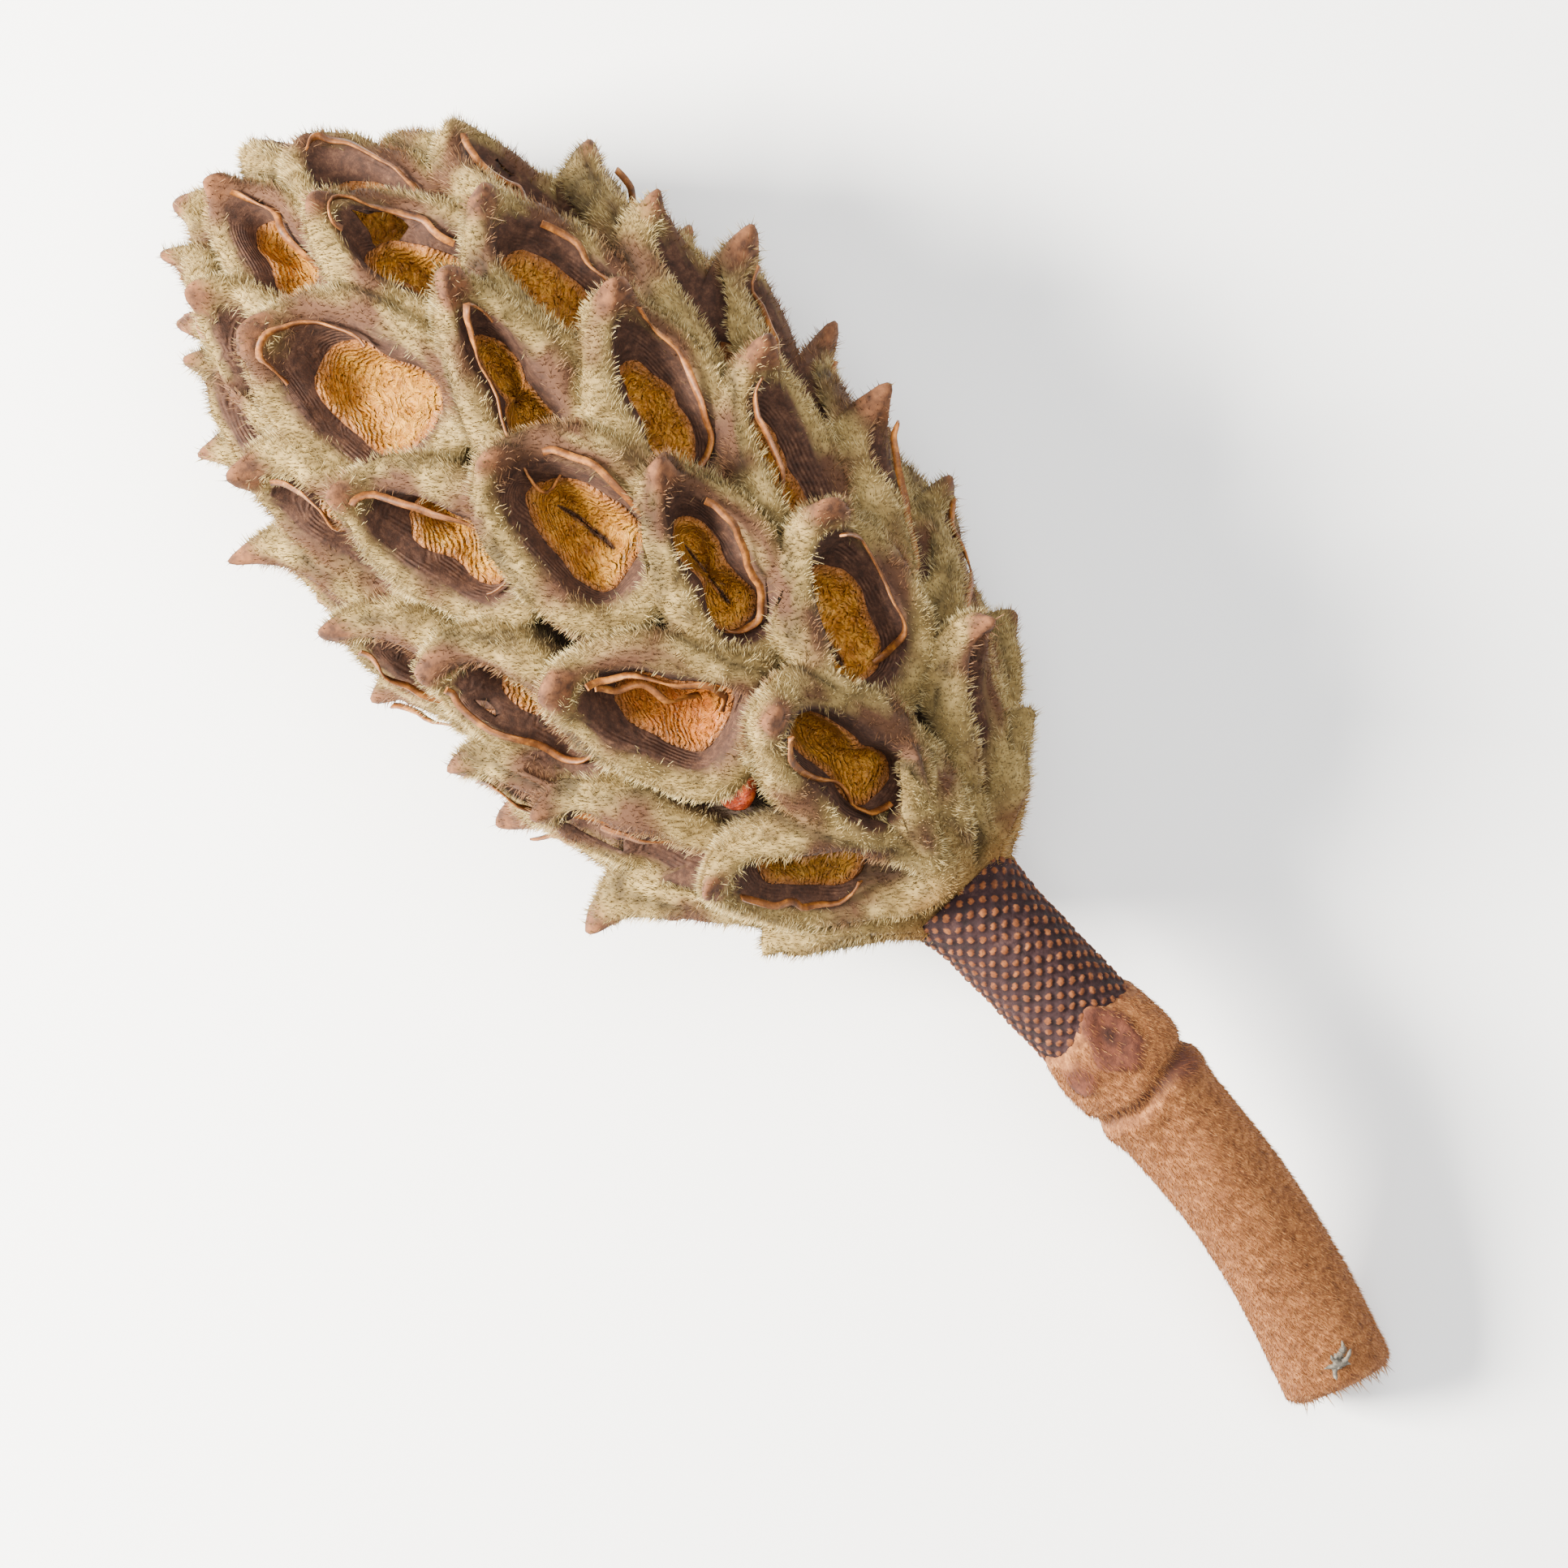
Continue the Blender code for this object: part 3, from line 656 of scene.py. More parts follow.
# Painted shade in the slit between the two valves.
gold = blend(tree, spread(tree, read(tree, "deep"), 0.86, 0.98), gold, linear("3E2412"))
gold = blend(tree, spread(tree, read(tree, "deep"), 0.14, 0.0), gold, linear("8A5428"))
tree.links.new(gold, shader.inputs["Base Color"])
creases = add(tree, "ShaderNodeBump", {"Height": mottle(tree, where, 1.3, 3.0, 0.6, 3.0), "Strength": 1.0,
                                       "Distance": 0.8 * MM})
wrinkles = add(tree, "ShaderNodeBump", {"Height": folds, "Normal": creases.outputs["Normal"], "Strength": 1.0,
                                        "Distance": 0.14 * MM})
tree.links.new(wrinkles.outputs["Normal"], shader.inputs["Normal"])
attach(beds, "root")

# Torn lining: stiff pale strips, like wood shavings, that came away along the lips when the follicles split and
# curled as they dried. They keep to the rim that they tore from, and their ends are still fixed to it.
STRIP_WIDTH = 0.62
STRIP_THICKNESS = 0.18
STRIP_STEPS = 26
STRIP_SHARE = 0.6
STRIP_SEED = 41

# Those that face up, by follicle: degrees from the beak round the rim, and how far inside and above the crest.
STRIPS_SEEN = {
    11: (((-4, 1.4, 0.2), (-34, 1.0, 0.5), (-110, 1.6, -0.6), (-176, 1.2, -0.4)),),
    14: (((52, 1.0, 0.4), (110, 1.1, 0.2), (172, 1.4, -0.6)),),
    16: (((10, 1.6, 0.3), (60, 0.6, 0.6), (120, 1.2, 0.3), (165, 2.2, -0.8)),),
    19: (((17, 1.2, 0.3), (74, 0.4, 0.7), (112, 0.9, 0.5), (168, 2.4, -0.6)),
         ((20, 1.8, 0.0), (60, 2.6, -0.8), (150, 4.6, -1.6))),
    21: (((20, 1.2, 0.6), (60, 0.4, 0.9), (102, 0.7, 0.5), (170, 1.4, -0.3)),),
    24: (((44, 0.6, 0.6), (84, 0.7, 0.6), (165, 1.4, 0.2), (214, 1.6, -0.6)),),
    27: (((-6, 1.6, 0.2), (-46, 1.0, 0.4), (-119, 1.0, 0.2), (-171, 1.6, -0.6)),),
    32: (((41, 0.4, 0.8), (60, -0.3, 1.0), (102, 0.2, 0.7), (168, 0.8, 0.0)),),
    37: (((20, 1.0, 0.5), (70, 0.6, 0.7), (120, 0.8, 0.4), (175, 1.4, -0.5)),),
    40: (((-1, 1.0, 0.5), (44, 0.8, 0.8), (90, 1.3, 0.4), (150, 1.0, 0.1), (208, 1.4, -0.6)),),
    45: (((37, 1.6, 0.6), (-30, 2.4, 0.9), (-65, 1.2, 1.1),
          (-133, -0.6, 1.4), (-160, -2.6, 1.0), (-188, -0.2, 0.6)),),
    50: (((52, 0.6, 0.6), (119, 0.8, 0.3), (171, 1.2, -0.5)),),
    53: (((-44, 1.2, 0.3), (-8, 1.0, 0.8), (29, 0.9, 0.8), (84, 1.1, 0.5)),),
    58: (((-30, 1.0, 0.5), (10, 1.0, 0.7), (70, 0.9, 0.4), (120, 1.2, 0.0)),),
    63: (((-10, 1.0, 0.5), (50, 0.8, 0.6), (130, 1.1, 0.0)),),
}


def strip_path(follicle, stops):
    """A smooth path beside the rim through stops of (degrees from the beak, inset, height)."""
    stops = np.array(stops, float)
    path = smooth_rows(stops.reshape(-1, 1, 3), STRIP_STEPS)[:, 0]
    turned = np.radians(path[:, 0])
    turned = (turned + math.pi) % (2 * math.pi) - math.pi
    across, along, top = follicle.rim(turned)
    reach = np.hypot(across, along)
    inset = path[:, 1] + 0.35
    pull = 0.75 * follicle.beak * beak_pull(turned)
    local = np.stack((across * (1 - inset / reach), along * (1 - inset / reach) + BEAK_REACH * pull,
                      top + path[:, 2] - 0.15 + BEAK_RISE * pull), 1)
    points = follicle.place(local)
    return points + [0.45 * wander(point, 2.6, 21.0 + follicle.number) for point in points]


paths = []
scatter = random.Random(STRIP_SEED)
for follicle in follicles:
    if follicle.number in STRIPS_SEEN:
        paths += [strip_path(follicle, stops) for stops in STRIPS_SEEN[follicle.number]]
    elif follicle.opened and scatter.random() < STRIP_SHARE:
        side = scatter.choice((-1, 1))
        stops = [(side * (angle + scatter.uniform(-12, 12)), scatter.uniform(0.5, 1.6), height)
                 for angle, height in ((15, 0.4), (65, 0.6), (115, 0.2), (165, -0.6))]
        paths.append(strip_path(follicle, stops))

curves = bpy.data.curves.new("strip_paths", "CURVE")
curves.dimensions = "3D"
for path in paths:
    spline = curves.splines.new("POLY")
    spline.points.add(len(path) - 1)
    lean = scatter.uniform(-0.9, 0.9)
    for i, (point, place) in enumerate(zip(spline.points, grown(path))):
        point.co = (*(Vector(place) * MM), 1.0)
        point.tilt = lean + 1.5 * math.sin(3.4 * i / STRIP_STEPS + 6 * lean)
        narrower = 0.7 * (2 * i / STRIP_STEPS - 1) ** 4
        point.radius = 0.85 - narrower + 0.35 * math.sin(7 * i / STRIP_STEPS + 9 * lean)
strips = bpy.data.objects.new("lining_strips", curves)
bpy.context.scene.collection.objects.link(strips)


def open_tree(name, *sockets):
    """A Geometry Nodes tree with a geometry input and output, and named inputs of (kind, name)."""
    tree = bpy.data.node_groups.new(name, "GeometryNodeTree")
    tree.interface.new_socket("Geometry", in_out="OUTPUT", socket_type="NodeSocketGeometry")
    tree.interface.new_socket("Geometry", in_out="INPUT", socket_type="NodeSocketGeometry")
    for kind, label in sockets:
        tree.interface.new_socket(label, in_out="INPUT", socket_type="NodeSocket" + kind)
    return tree, add(tree, "NodeGroupInput").outputs


def close_tree(tree, geometry, material):
    """Ends a tree in real geometry with its material."""
    real = add(tree, "GeometryNodeRealizeInstances", {"Geometry": geometry}).outputs[0]
    dressed = add(tree, "GeometryNodeSetMaterial", {"Geometry": real, "Material": material}).outputs[0]
    add(tree, "NodeGroupOutput", {0: dressed})


def grow(obj, tree, **values):
    """Runs a tree on an object with its inputs set by name, and keeps the result as a plain mesh."""
    modifier = obj.modifiers.new(tree.name, "NODES")
    modifier.node_group = tree
    for item in tree.interface.items_tree:
        if item.in_out == "INPUT" and item.name in values:
            modifier[item.identifier] = values[item.name]
    graph = bpy.context.evaluated_depsgraph_get()
    mesh = bpy.data.meshes.new_from_object(obj.evaluated_get(graph))
    name, carrier = obj.name, obj.data
    bpy.data.objects.remove(obj)
    if carrier.users == 0:
        (bpy.data.curves if isinstance(carrier, bpy.types.Curve) else bpy.data.meshes).remove(carrier)
    made = bpy.data.objects.new(name, mesh)
    mesh.name = name
    bpy.context.scene.collection.objects.link(made)
    return made


shaving, tree, shader = new_material("pale torn lining", 0.55, 0.35)
where = add(tree, "ShaderNodeTexCoord").outputs["Object"]
pale = ramp(tree, mottle(tree, where, 1.8, 5.0, 0.75), (0.3, "301808"), (0.5, "6C3E16"), (0.68, "AA6C2C"))
tree.links.new(pale, shader.inputs["Base Color"])

tree, given = open_tree("torn strip", ("Float", "Width"), ("Float", "Thickness"))
section = add(tree, "GeometryNodeCurvePrimitiveQuadrilateral",
              {"Width": given["Thickness"], "Height": given["Width"]}).outputs[0]
ribbon = add(tree, "GeometryNodeCurveToMesh",
             {"Curve": given["Geometry"], "Profile Curve": section, "Fill Caps": True})
close_tree(tree, ribbon.outputs[0], shaving)
strips = grow(strips, tree, Width=STRIP_WIDTH * MM, Thickness=STRIP_THICKNESS * MM)
keep_above_table(strips)
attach(strips, "root")

# Wool: short dense hairs all over the outside of the follicles, combed up towards the beaks and tufted. They
# are cream at their ends and olive at their roots, and worn away in patches. Each is a thin closed cone, drawn
# coarser than a real hair so that it shows.
WOOL_LENGTH = 0.66
WOOL_RADIUS = 0.042
WOOL_DENSITY = 15.6
TUFT_SIZE = 1.6
WOOL_PARTS = ((-40.0, 8.0), (8.0, 26.0), (26.0, 45.0), (45.0, 90.0))

wool_hair, tree, shader = new_material("short magnolia wool", 0.75, 0.2)
grade = add(tree, "ShaderNodeMath", {0: read(tree, "shade"), 1: read(tree, "along_hair")}, operation="MULTIPLY")
fibre = ramp(tree, grade.outputs[0], (0.0, "58472A"), (0.35, "A08854"), (0.8, "EAD6A0"))
rusty = ramp(tree, grade.outputs[0], (0.0, "442C1A"), (0.4, "7A5438"), (0.85, "B0865E"))
tan = ramp(tree, grade.outputs[0], (0.0, "5E4018"), (0.4, "94682C"), (0.85, "CCA262"))
fibre = blend(tree, read(tree, "worn"), fibre, rusty)
fibre = blend(tree, read(tree, "russet"), fibre, tan)
# Painted shade: the hairs darken in the creases between follicles and in the valleys below the lips.
fibre = blend(tree, spread(tree, read(tree, "crease"), 0.0, 1.3), fibre, linear("33260F"))
fibre = blend(tree, spread(tree, read(tree, "height"), -1.6, -4.4), fibre, linear("30240F"))
tree.links.new(fibre, shader.inputs["Base Color"])


def named(tree, name, kind="FLOAT"):
    """A value that the mesh under the hairs holds."""
    return add(tree, "GeometryNodeInputNamedAttribute", {"Name": name}, data_type=kind).outputs[0]


def chance(tree, low, high, seed):
    """A random number for each hair."""
    return add(tree, "FunctionNodeRandomValue", {2: low, 3: high, "Seed": seed}, data_type="FLOAT").outputs[1]


def hair_tree(name, material, combed, lifted, tufted, loose):
    """A tree that sets closed cones on a mesh, by its own wool attribute and along its comb attribute."""
    sizes = [("Float", label) for label in ("Density", "Length", "Radius", "Tuft Size", "From X", "To X")]
    tree, given = open_tree(name, *sizes, ("Int", "Seed"))
    place = add(tree, "GeometryNodeInputPosition").outputs[0]
    x = add(tree, "ShaderNodeSeparateXYZ", {0: place}).outputs[0]
    after = add(tree, "FunctionNodeCompare", {0: x, 1: given["From X"]}, operation="GREATER_EQUAL")
    before = add(tree, "FunctionNodeCompare", {0: x, 1: given["To X"]}, operation="LESS_THAN")
    within = add(tree, "FunctionNodeBooleanMath", {0: after.outputs[0], 1: before.outputs[0]}).outputs[0]
    dense = add(tree, "ShaderNodeMath", {0: named(tree, "wool"), 1: given["Density"]}, operation="MULTIPLY")
    roots = add(tree, "GeometryNodeDistributePointsOnFaces",
                {"Mesh": given["Geometry"], "Selection": within, "Density": dense.outputs[0],
                 "Seed": given["Seed"]})
    fineness = add(tree, "ShaderNodeMath", {0: 1.0, 1: given["Tuft Size"]}, operation="DIVIDE").outputs[0]
    tufts = add(tree, "ShaderNodeTexNoise", {"Vector": place, "Scale": fineness, "Detail": 2.0})
    swirl = {0: tufts.outputs["Color"], 1: (0.5, 0.5, 0.5)}
    swirl = add(tree, "ShaderNodeVectorMath", swirl, operation="SUBTRACT")
    any_way = add(tree, "FunctionNodeRandomValue", {0: (-1, -1, -1), 1: (1, 1, 1)}, data_type="FLOAT_VECTOR")
    way = None
    for pull, share in ((named(tree, "comb", "FLOAT_VECTOR"), combed), (roots.outputs["Normal"], lifted),
                        (swirl.outputs[0], tufted), (any_way.outputs[0], loose)):
        pull = add(tree, "ShaderNodeVectorMath", {0: pull, "Scale": share}, operation="SCALE").outputs[0]
        way = add(tree, "ShaderNodeVectorMath", {0: way, 1: pull}, operation="ADD").outputs[0] if way else pull
    turned = add(tree, "FunctionNodeAlignRotationToVector", {"Vector": way}, axis="Z").outputs[0]
    cone = add(tree, "GeometryNodeMeshCone",
               {"Vertices": 3, "Radius Top": 0.0, "Radius Bottom": 1.0, "Depth": 1.0})
    level = add(tree, "ShaderNodeSeparateXYZ", {0: place}).outputs[2]
    hair = add(tree, "GeometryNodeStoreNamedAttribute",
               {"Geometry": cone.outputs["Mesh"], "Name": "along_hair", "Value": level}, data_type="FLOAT")
    longer = add(tree, "ShaderNodeMath", {0: chance(tree, 0.0, 1.0, 3), 1: 4.0}, operation="POWER").outputs[0]
    longer = add(tree, "ShaderNodeMath", {0: longer, 1: 0.8, 2: 0.8}, operation="MULTIPLY_ADD").outputs[0]
    fringe = {0: named(tree, "crest"), 1: 0.3, 2: 1.0}
    fringe = add(tree, "ShaderNodeMath", fringe, operation="MULTIPLY_ADD").outputs[0]
    longer = add(tree, "ShaderNodeMath", {0: longer, 1: fringe}, operation="MULTIPLY").outputs[0]
    long = add(tree, "ShaderNodeMath", {0: given["Length"], 1: longer}, operation="MULTIPLY").outputs[0]
    thick = {0: given["Radius"], 1: chance(tree, 0.75, 1.25, 4)}
    thick = add(tree, "ShaderNodeMath", thick, operation="MULTIPLY").outputs[0]
    size = add(tree, "ShaderNodeCombineXYZ", {0: thick, 1: thick, 2: long}).outputs[0]
    shaded = {"Geometry": roots.outputs["Points"], "Name": "shade", "Value": chance(tree, 0.45, 1.0, 5)}
    shaded = add(tree, "GeometryNodeStoreNamedAttribute", shaded, data_type="FLOAT").outputs[0]
    hairs = add(tree, "GeometryNodeInstanceOnPoints",
                {"Points": shaded, "Instance": hair.outputs[0], "Rotation": turned, "Scale": size})
    close_tree(tree, hairs.outputs[0], material)
    return tree


wool_tree = hair_tree("wool", wool_hair, combed=0.55, lifted=0.75, tufted=2.2, loose=0.3)
for part, (start, end) in enumerate(WOOL_PARTS):
    carrier = bpy.data.objects.new("wool_" + "abcd"[part], head.data)
    bpy.context.scene.collection.objects.link(carrier)
    wool = grow(carrier, wool_tree, **{
        "Density": WOOL_DENSITY / MM ** 2, "Length": WOOL_LENGTH * MM, "Radius": WOOL_RADIUS * MM,
        "Tuft Size": TUFT_SIZE * MM, "From X": start * MM, "To X": end * MM, "Seed": 5 + part})
    keep_above_table(wool)
    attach(wool, "root")

# Scar band: the bare dark bark between head and twig, where the stamens and petals fell. Each left a raised
# corky dot, and the dots stand in a close net that winds round by whole rows.
BAND_LENGTH = 15.0
BAND_FLARE = 0.5
BAND_FLARE_LENGTH = 1.6
TWIG_LENGTH = 55.2
BEND_START = 22.0
BEND = 5.7
DROOP_POWER = 1.7
END_CLEARANCE = 4.95
UPRIGHT_FROM = 9.0
DOT_COLUMNS = 19
DOT_ROW_RISE = 1.32
DOT_HALF = 0.38
DOT_RELIEF = 0.24
NET_WIND = 3


def centreline(back):
    """Points on the middle of the band and twig, so far back from the head."""
    back = np.asarray(back, float)
    bent = np.maximum(0.0, (back - BEND_START) / (TWIG_LENGTH - BEND_START))
    drop = AXIS_START[2] - END_CLEARANCE
    return AXIS_START + np.stack((-back, BEND * bent ** 2,
                                  -drop * (np.maximum(0.0, back) / TWIG_LENGTH) ** DROOP_POWER), -1)


def frames_at(backs):
    """Directions ahead, to the side and up at places on the centreline. The last rings stand upright."""
    ahead = centreline(backs - 0.05) - centreline(backs + 0.05)
    ahead[:, 2] *= 1 - smooth_step(backs, TWIG_LENGTH - UPRIGHT_FROM, TWIG_LENGTH)
    ahead /= np.linalg.norm(ahead, axis=1).reshape(-1, 1)
    side = np.cross((0.0, 0.0, 1.0), ahead)
    side /= np.linalg.norm(side, axis=1).reshape(-1, 1)
    return ahead, side, np.cross(ahead, side)


def tube_rows(backs, sides, radius_at):
    """Rings round the centreline, turned from straight up towards -Y: points, stations and angles."""
    _, side, up = frames_at(backs)
    turned = np.linspace(0, 2 * math.pi, sides, endpoint=False)
    back_grid, turned_grid = np.meshgrid(backs, turned, indexing="ij")
    out = up[:, None] * np.cos(turned)[None, :, None] - side[:, None] * np.sin(turned)[None, :, None]
    rows = centreline(backs)[:, None] + out * radius_at(back_grid, turned_grid)[..., None]
    return rows, back_grid, turned_grid


def dot_at(back, turned):
    """How much of a dot is here: 1 on its top, 0 in the net between dots."""
    column = turned / (2 * math.pi) * DOT_COLUMNS
    row = back / DOT_ROW_RISE + NET_WIND * turned / (2 * math.pi) + 0.05 * np.sin(5 * turned + 2.1 * back)
    column = column + 0.05 * np.sin(7 * turned - 1.7 * back)
    nearest = np.full_like(back, 9.0)
    for half in (0.0, 0.5):
        along = (row - half - np.round(row - half)) * DOT_ROW_RISE
        across = (column - half - np.round(column - half)) * 2 * math.pi * BAND_RADIUS / DOT_COLUMNS
        nearest = np.minimum(nearest, np.hypot(along * 1.15, across))
    return smooth_step(-nearest, -DOT_HALF * 1.2, -DOT_HALF * 0.7)


def band_radius(back, turned):
    rough = 0.07 * np.sin(5.3 * turned + 1.7 * back) * np.sin(2.9 * back)
    return BAND_RADIUS + BAND_FLARE * np.exp(-np.maximum(back, 0) / BAND_FLARE_LENGTH) + rough \
        + DOT_RELIEF * dot_at(back, turned)


corky, tree, shader = new_material("scar band bark", 0.8, 0.2)
rows, back, turned = tube_rows(np.linspace(-1.2, BAND_LENGTH + 0.6, 88), 168, band_radius)
points, faces = closed_stack(rows)
band = new_object("scar_band_bark", points, faces, corky)
face_out(band.data)
store(band.data, "dot", dot_at(back, turned).ravel())
where = add(tree, "ShaderNodeTexCoord").outputs["Object"]
net = ramp(tree, mottle(tree, where, 1.8, 6.0, 0.7), (0.3, "140A0A"), (0.55, "281617"), (0.75, "46302B"))
cork = ramp(tree, mottle(tree, where, 1.0, 6.0, 0.7), (0.3, "3A1D0E"), (0.5, "61351A"), (0.7, "86522D"))
tree.links.new(blend(tree, spread(tree, read(tree, "dot"), 0.5, 0.9), net, cork), shader.inputs["Base Color"])
pores = add(tree, "ShaderNodeBump",
            {"Height": mottle(tree, where, 0.3, 5.0, 0.7), "Strength": 0.7, "Distance": 0.12 * MM})
tree.links.new(pores.outputs["Normal"], shader.inputs["Normal"])
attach(band, "root")
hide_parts("scar_band")

# Twig: a young shoot in short rusty felt, swollen at the last node, with a groove and a raised lip behind it,
# round scars where bracts fell, and a rough end where it was snapped off.
TWIG_RADIUS = 5.05
TWIG_WAIST = 0.15
NODE = (18.9, 3.1, 0.5)
GROOVE = (21.8, 0.7, -0.65)
LIP = (23.3, 1.4, 0.35)

# Round scars: millimetres back from the head, degrees round, half width, and how deep and dark they still are.
BRACT_SCARS = ((17.0, 6.0, 2.6, 1.0), (17.2, -44.0, 1.9, 0.5), (18.8, 128.0, 2.3, 0.5))
LAP = 1.9
LAP_BACK = 5.5
BRACT_SCAR_RELIEF = 0.35
END_ROUNDING = 0.7
END_ROUNDING_LENGTH = 0.9
TWIG_START = 14.7


def scar_at(back, turned):
    """How far into the nearest bract scar a place is: 1 at its middle, 0 at its rim and outside."""
    inside = np.zeros_like(back)
    for at, angle, half, fresh in BRACT_SCARS:
        around = (turned - math.radians(angle) + math.pi) % (2 * math.pi) - math.pi
        ragged = half * (1 + 0.08 * np.sin(3 * turned + 2.3 * back) + 0.05 * np.sin(11 * turned - 1.9 * back))
        inside = np.maximum(inside, fresh * (1 - np.hypot(back - at, around * TWIG_RADIUS) / ragged))
    return inside


def twig_radius(back, turned):
    radius = np.full_like(back, TWIG_RADIUS)
    for at, half, change in (NODE, GROOVE, LIP):
        wave = 0.5 * np.sin(turned * 2 + at) + 0.25 * np.sin(turned * 5 + at)
        radius += change * np.exp(-(((back - at - wave) / half) ** 2))
    below_lip = np.maximum(0.0, back - LIP[0]) / (TWIG_LENGTH - LIP[0])
    radius -= TWIG_WAIST * np.sin(math.pi * np.minimum(below_lip, 1.0))
    inside = scar_at(back, turned)
    radius += BRACT_SCAR_RELIEF * smooth_step(inside, 0.0, 0.25) - 0.3 * smooth_step(inside, 0.35, 0.8)
    radius += 0.10 * np.sin(3 * turned + 0.25 * back) + 0.06 * np.sin(7 * turned + 0.9 * np.sin(0.5 * back))
    rounding = np.maximum(0.0, 1 - (TWIG_LENGTH - back) / END_ROUNDING_LENGTH)
    start = np.maximum(0.0, 1 - (back - TWIG_START) / 0.7)
    return radius - END_ROUNDING * rounding ** 2 - 0.25 * start ** 2


bark, tree, shader = new_material("rusty felted bark", 0.85, 0.25)
rows, back, turned = tube_rows(np.linspace(TWIG_START, TWIG_LENGTH, 132), 110, twig_radius)
beside_scar = (turned - math.radians(BRACT_SCARS[0][1]) + math.pi) % (2 * math.pi) - math.pi
lap = LAP * np.exp(-(beside_scar / 0.5) ** 2) + 0.3 * np.sin(4 * turned) + 0.2 * np.sin(9 * turned)
rows[..., 0] += lap * (1 - smooth_step(back, TWIG_START, TWIG_START + LAP_BACK))
ends = [rows[-1].mean(axis=0) + (rows[-1] - rows[-1].mean(axis=0)) * share for share in (0.86, 0.6, 0.3)]
rows = np.concatenate((rows, ends))
points, faces = closed_stack(rows, end=ends[-1].mean(axis=0))
points = np.array(points)
cut = np.concatenate((np.zeros(back.size), np.ones(len(points) - back.size)))
rough = np.array([noise.noise(Vector(point / 0.9)) + 0.5 * noise.noise(Vector(point / 0.4))
                  for point in points])
points[:, 0] += cut * np.maximum(0.0, 0.55 * rough + 0.1)
points += 0.12 * rough.reshape(-1, 1) * unit(np.array((0.0, 0.3, 1.0))) * (1 - cut).reshape(-1, 1)
points[:, 2] = np.maximum(points[:, 2], RESTS_AT)
twig = new_object("felted_bark", points, faces, bark)
face_out(twig.data)
pad = np.zeros(len(points) - back.size)
station = np.concatenate((back.ravel(), pad + TWIG_LENGTH))
around = np.concatenate((turned.ravel(), pad))
store(twig.data, "cut", cut)
# The groove is also darkened as painted shade.
store(twig.data, "fold", np.exp(-((station - GROOVE[0]) / 0.9) ** 2))
# Painted shade on one side of the lip behind the groove.
store(twig.data, "lip_shade", np.exp(-((station - 22.6) / 1.6) ** 2 - ((around - 0.8) / 0.5) ** 2))
scarred = np.concatenate((scar_at(back, turned).ravel(), pad))
store(twig.data, "scar", scarred)
store(twig.data, "comb", np.tile((-0.9, 0.0, -0.35), (len(points), 1)), "FLOAT_VECTOR")
store(twig.data, "wool", (1 - cut) * (1 - 0.85 * smooth_step(scarred, 0.1, 0.4))
      * smooth_step(points[:, 2], 0.6, 1.6) * smooth_step(station, TWIG_START, TWIG_START + 1.2))

where = add(tree, "ShaderNodeTexCoord").outputs["Object"]
rust = ramp(tree, mottle(tree, where, 0.9, 7.0, 0.75), (0.34, "4A2A15"), (0.5, "784A28"), (0.66, "A87040"))
# Painted shade in the groove.
rust = blend(tree, spread(tree, read(tree, "fold"), 0.3, 1.0), rust, linear("3A2015"))
# Painted shade on one side of the lip behind the groove.
rust = blend(tree, spread(tree, read(tree, "lip_shade"), 0.3, 0.9), rust, linear("48261A"))
disc = ramp(tree, mottle(tree, where, 1.1, 6.0, 0.7), (0.35, "36190F"), (0.65, "5E3322"))
rust = blend(tree, spread(tree, read(tree, "scar"), 0.0, 0.2), rust, disc)
rust = blend(tree, spread(tree, read(tree, "scar"), 0.68, 1.0), rust, linear("1C0C08"))
rust = blend(tree, read(tree, "cut"), rust, linear("8C6A4A"))
tree.links.new(rust, shader.inputs["Base Color"])
grain = add(tree, "ShaderNodeBump",
            {"Height": mottle(tree, where, 0.4, 6.0, 0.7), "Strength": 0.6, "Distance": 0.15 * MM})
tree.links.new(grain.outputs["Normal"], shader.inputs["Normal"])
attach(twig, "root")
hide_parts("twig")

# The twig's own felt: very short rusty hairs that lie back along the shoot. Real ones are several times finer
# and closer, so these are drawn coarser, to show.
FUZZ_LENGTH = 0.5
FUZZ_RADIUS = 0.034
FUZZ_DENSITY = 17.0
fuzz_hair, tree, shader = new_material("rusty twig felt", 0.75, 0.2)
grade = add(tree, "ShaderNodeMath", {0: read(tree, "shade"), 1: read(tree, "along_hair")}, operation="MULTIPLY")
fibre = ramp(tree, grade.outputs[0], (0.0, "5A341A"), (0.4, "945E32"), (0.85, "DCA66C"))
# Painted shade on one side of the lip behind the groove, on the felt too.
fibre = blend(tree, spread(tree, read(tree, "lip_shade"), 0.2, 1.2), fibre, linear("562E1A"))
tree.links.new(fibre, shader.inputs["Base Color"])
fuzz_tree = hair_tree("fuzz", fuzz_hair, combed=0.9, lifted=0.45, tufted=0.7, loose=0.3)
carrier = bpy.data.objects.new("twig_felt", twig.data)
bpy.context.scene.collection.objects.link(carrier)
fuzz = grow(carrier, fuzz_tree, **{
    "Density": FUZZ_DENSITY / MM ** 2, "Length": FUZZ_LENGTH * MM, "Radius": FUZZ_RADIUS * MM,
    "Tuft Size": TUFT_SIZE * MM, "From X": -90 * MM, "To X": 0.0, "Seed": 11})
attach(fuzz, "root")

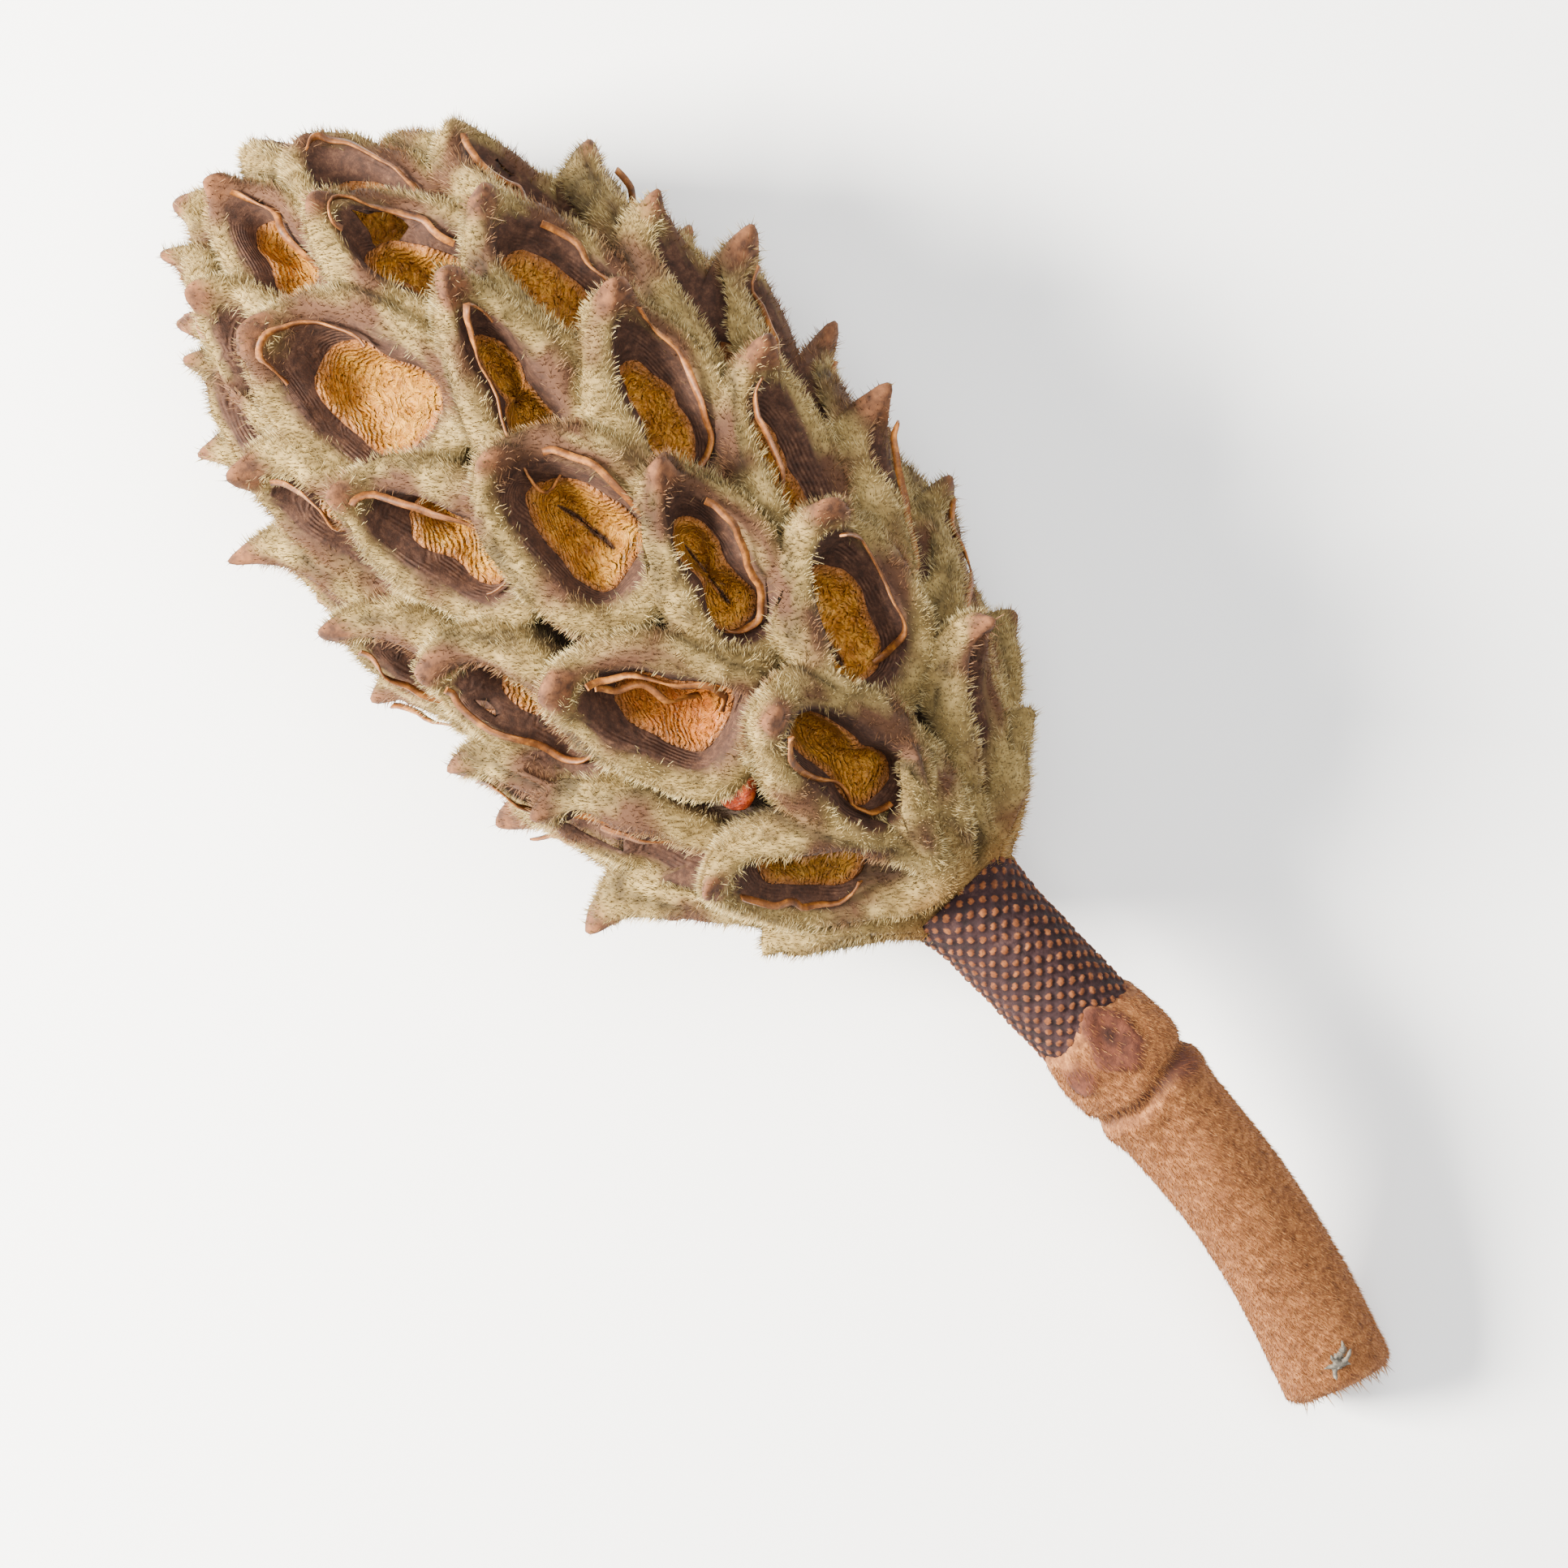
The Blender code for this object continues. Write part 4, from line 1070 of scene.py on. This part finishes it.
# Frayed wood fibres that stand out of the twig's end, straw-coloured and stiff, where it was snapped off. They
# are drawn about twice as thick as real ones, which would not show.
FIBRE_COUNT = 90
FIBRE_RADIUS = 0.085
FIBRE_SEED = 17
scatter = random.Random(FIBRE_SEED)
ahead, side, up = (vectors[0] for vectors in frames_at(np.array((TWIG_LENGTH,))))
points, faces = [], []
for _ in range(FIBRE_COUNT):
    angle = scatter.uniform(0, 2 * math.pi)
    reach = (TWIG_RADIUS - 0.75) * scatter.uniform(0.35, 1.0) ** 0.4
    root = centreline(TWIG_LENGTH) + reach * (up * math.cos(angle) + side * math.sin(angle)) + 0.5 * ahead
    way = unit(-ahead + np.array([scatter.uniform(-0.5, 0.5) for _ in range(3)]))
    length = 0.6 + scatter.uniform(0.4, 1.5)
    bend = np.array([scatter.uniform(-0.35, 0.35) for _ in range(3)])
    first = len(points)
    for share in (0.0, 0.5):
        middle = root + way * length * share + bend * share ** 2
        thick = FIBRE_RADIUS * (1 - 0.5 * share)
        points += [middle + thick * (up * math.cos(a) + side * math.sin(a)) for a in (0, 2.1, 4.2)]
    points.append(root + way * length + bend)
    faces += [(first + i, first + (i + 1) % 3, first + 3 + (i + 1) % 3, first + 3 + i) for i in range(3)]
    faces += [(first + 3 + i, first + 3 + (i + 1) % 3, first + 6) for i in range(3)]
    faces.append((first + 2, first + 1, first))
points = np.maximum(points, LOWEST)
straw, tree, shader = new_material("frayed wood fibre", 0.8)
where = add(tree, "ShaderNodeTexCoord").outputs["Object"]
pith = ramp(tree, mottle(tree, where, 0.7, 4.0), (0.35, "6E4A2A"), (0.5, "96693F"), (0.65, "BE9868"))
tree.links.new(pith, shader.inputs["Base Color"])
fibres = new_object("frayed_fibres", points, faces, straw)
face_out(fibres.data)
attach(fibres, "root")

# The seed: one that never fell, shrunken in its red-orange skin at the bottom of the gap between two
# follicles. Its waxy skin dried to soft folds.
SEED_RISE = 21.6
SEED_ANGLE = -28.0
SEED_RADIUS = 15.6
SEED_HALF = np.array((2.8, 2.0, 1.4))
SEED_SIDES = 40
SEED_RINGS = 24
out = on_axis(0.0, SEED_ANGLE, 1.0)
side = np.cross((1.0, 0.0, 0.0), out)
long = unit(np.array((0.8, 0.0, 0.0)) + side * 0.6)
axes = np.stack((long, np.cross(out, long), out))
tilts = math.pi * (np.arange(SEED_RINGS) + 0.5) / SEED_RINGS
rounds = np.linspace(0, 2 * math.pi, SEED_SIDES, endpoint=False)
tilt_grid, round_grid = np.meshgrid(tilts, rounds, indexing="ij")
crease = 1 - 0.07 * np.cos(3 * round_grid + 2.0) - 0.03 * np.cos(9 * round_grid + 4 * tilt_grid)
ball = np.stack((np.cos(tilt_grid), crease * np.sin(tilt_grid) * np.cos(round_grid),
                 crease * np.sin(tilt_grid) * np.sin(round_grid)), -1)
points, faces = closed_stack(ball, start=(1.0, 0.0, 0.0), end=(-1.0, 0.0, 0.0))
points = AXIS_START + on_axis(SEED_RISE, SEED_ANGLE, SEED_RADIUS) + (np.array(points) * SEED_HALF) @ axes
aril, tree, shader = new_material("dried red seed skin", 0.45)
seed = new_object("shrunken_seed", points, faces, aril)
face_out(seed.data)
where = add(tree, "ShaderNodeTexCoord").outputs["Object"]
red = ramp(tree, mottle(tree, where, 1.2, 6.0, 0.7), (0.3, "401005"), (0.5, "842A08"), (0.7, "B85414"))
tree.links.new(red, shader.inputs["Base Color"])
skin_folds = add(tree, "ShaderNodeBump", {"Height": mottle(tree, where, 0.8, 4.0, 0.6, 1.5), "Strength": 0.9,
                                          "Distance": 0.3 * MM})
tree.links.new(skin_folds.outputs["Normal"], shader.inputs["Normal"])
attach(seed, "root")
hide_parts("seed")

# A grey flake of old bark that clings to the twig's end: thin ragged splinters that cross, curled at their
# tips. Each is set out as its turn, half length, half width and lift.
SPLINTERS = ((1.25, 1.9, 0.40, 0.15), (0.25, 1.5, 0.28, 0.32), (2.1, 1.1, 0.32, 0.45), (0.8, 0.8, 0.55, 0.22))
SPLINTER_THICKNESS = 0.14
FLAKE_BACK = 51.9
FLAKE_ANGLE = 0.06
slant = unit(centreline(FLAKE_BACK - 1.0) - centreline(FLAKE_BACK + 1.0))
_, side, up = (vectors[0] for vectors in frames_at(np.array((FLAKE_BACK,))))
outward = up * math.cos(FLAKE_ANGLE) - side * math.sin(FLAKE_ANGLE)
sideways = unit(np.cross(slant, outward))
points, faces = [], []
for turned, long_half, wide_half, lifted in SPLINTERS:
    along = np.linspace(-1, 1, 15)
    way = sideways * math.cos(turned) + slant * math.sin(turned)
    cross = np.cross(way, outward)
    bend = 0.25 * np.sin(2.2 * along + 5 * turned) * long_half
    wide = wide_half * (1 - np.abs(along) ** 1.6) ** 0.7 * (1 + 0.35 * np.sin(9 * along + 3 * turned)) + 0.03
    curl = lifted + 0.35 * np.maximum(0.0, np.abs(along) - 0.4) ** 2
    drop = TWIG_RADIUS - np.sqrt(TWIG_RADIUS ** 2 - (along * long_half * math.cos(turned)) ** 2)
    middle = (centreline(FLAKE_BACK) + outward * (TWIG_RADIUS + curl - drop)[:, None]
              + way * (along * long_half)[:, None] + cross * bend[:, None])
    rows = [[m + cross * w, m + outward * SPLINTER_THICKNESS, m - cross * w, m - outward * SPLINTER_THICKNESS]
            for m, w in zip(middle, wide)]
    more, more_faces = closed_stack(np.array(rows))
    faces += [tuple(len(points) + i for i in face) for face in more_faces]
    points += more
grey, tree, shader = new_material("grey bark flake", 0.8)
where = add(tree, "ShaderNodeTexCoord").outputs["Object"]
ashen = ramp(tree, mottle(tree, where, 0.6, 6.0, 0.8), (0.35, "322D26"), (0.5, "5C564B"), (0.68, "888073"))
tree.links.new(ashen, shader.inputs["Base Color"])
flake = new_object("bark_flake", points, faces, grey)
face_out(flake.data)
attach(flake, "root")
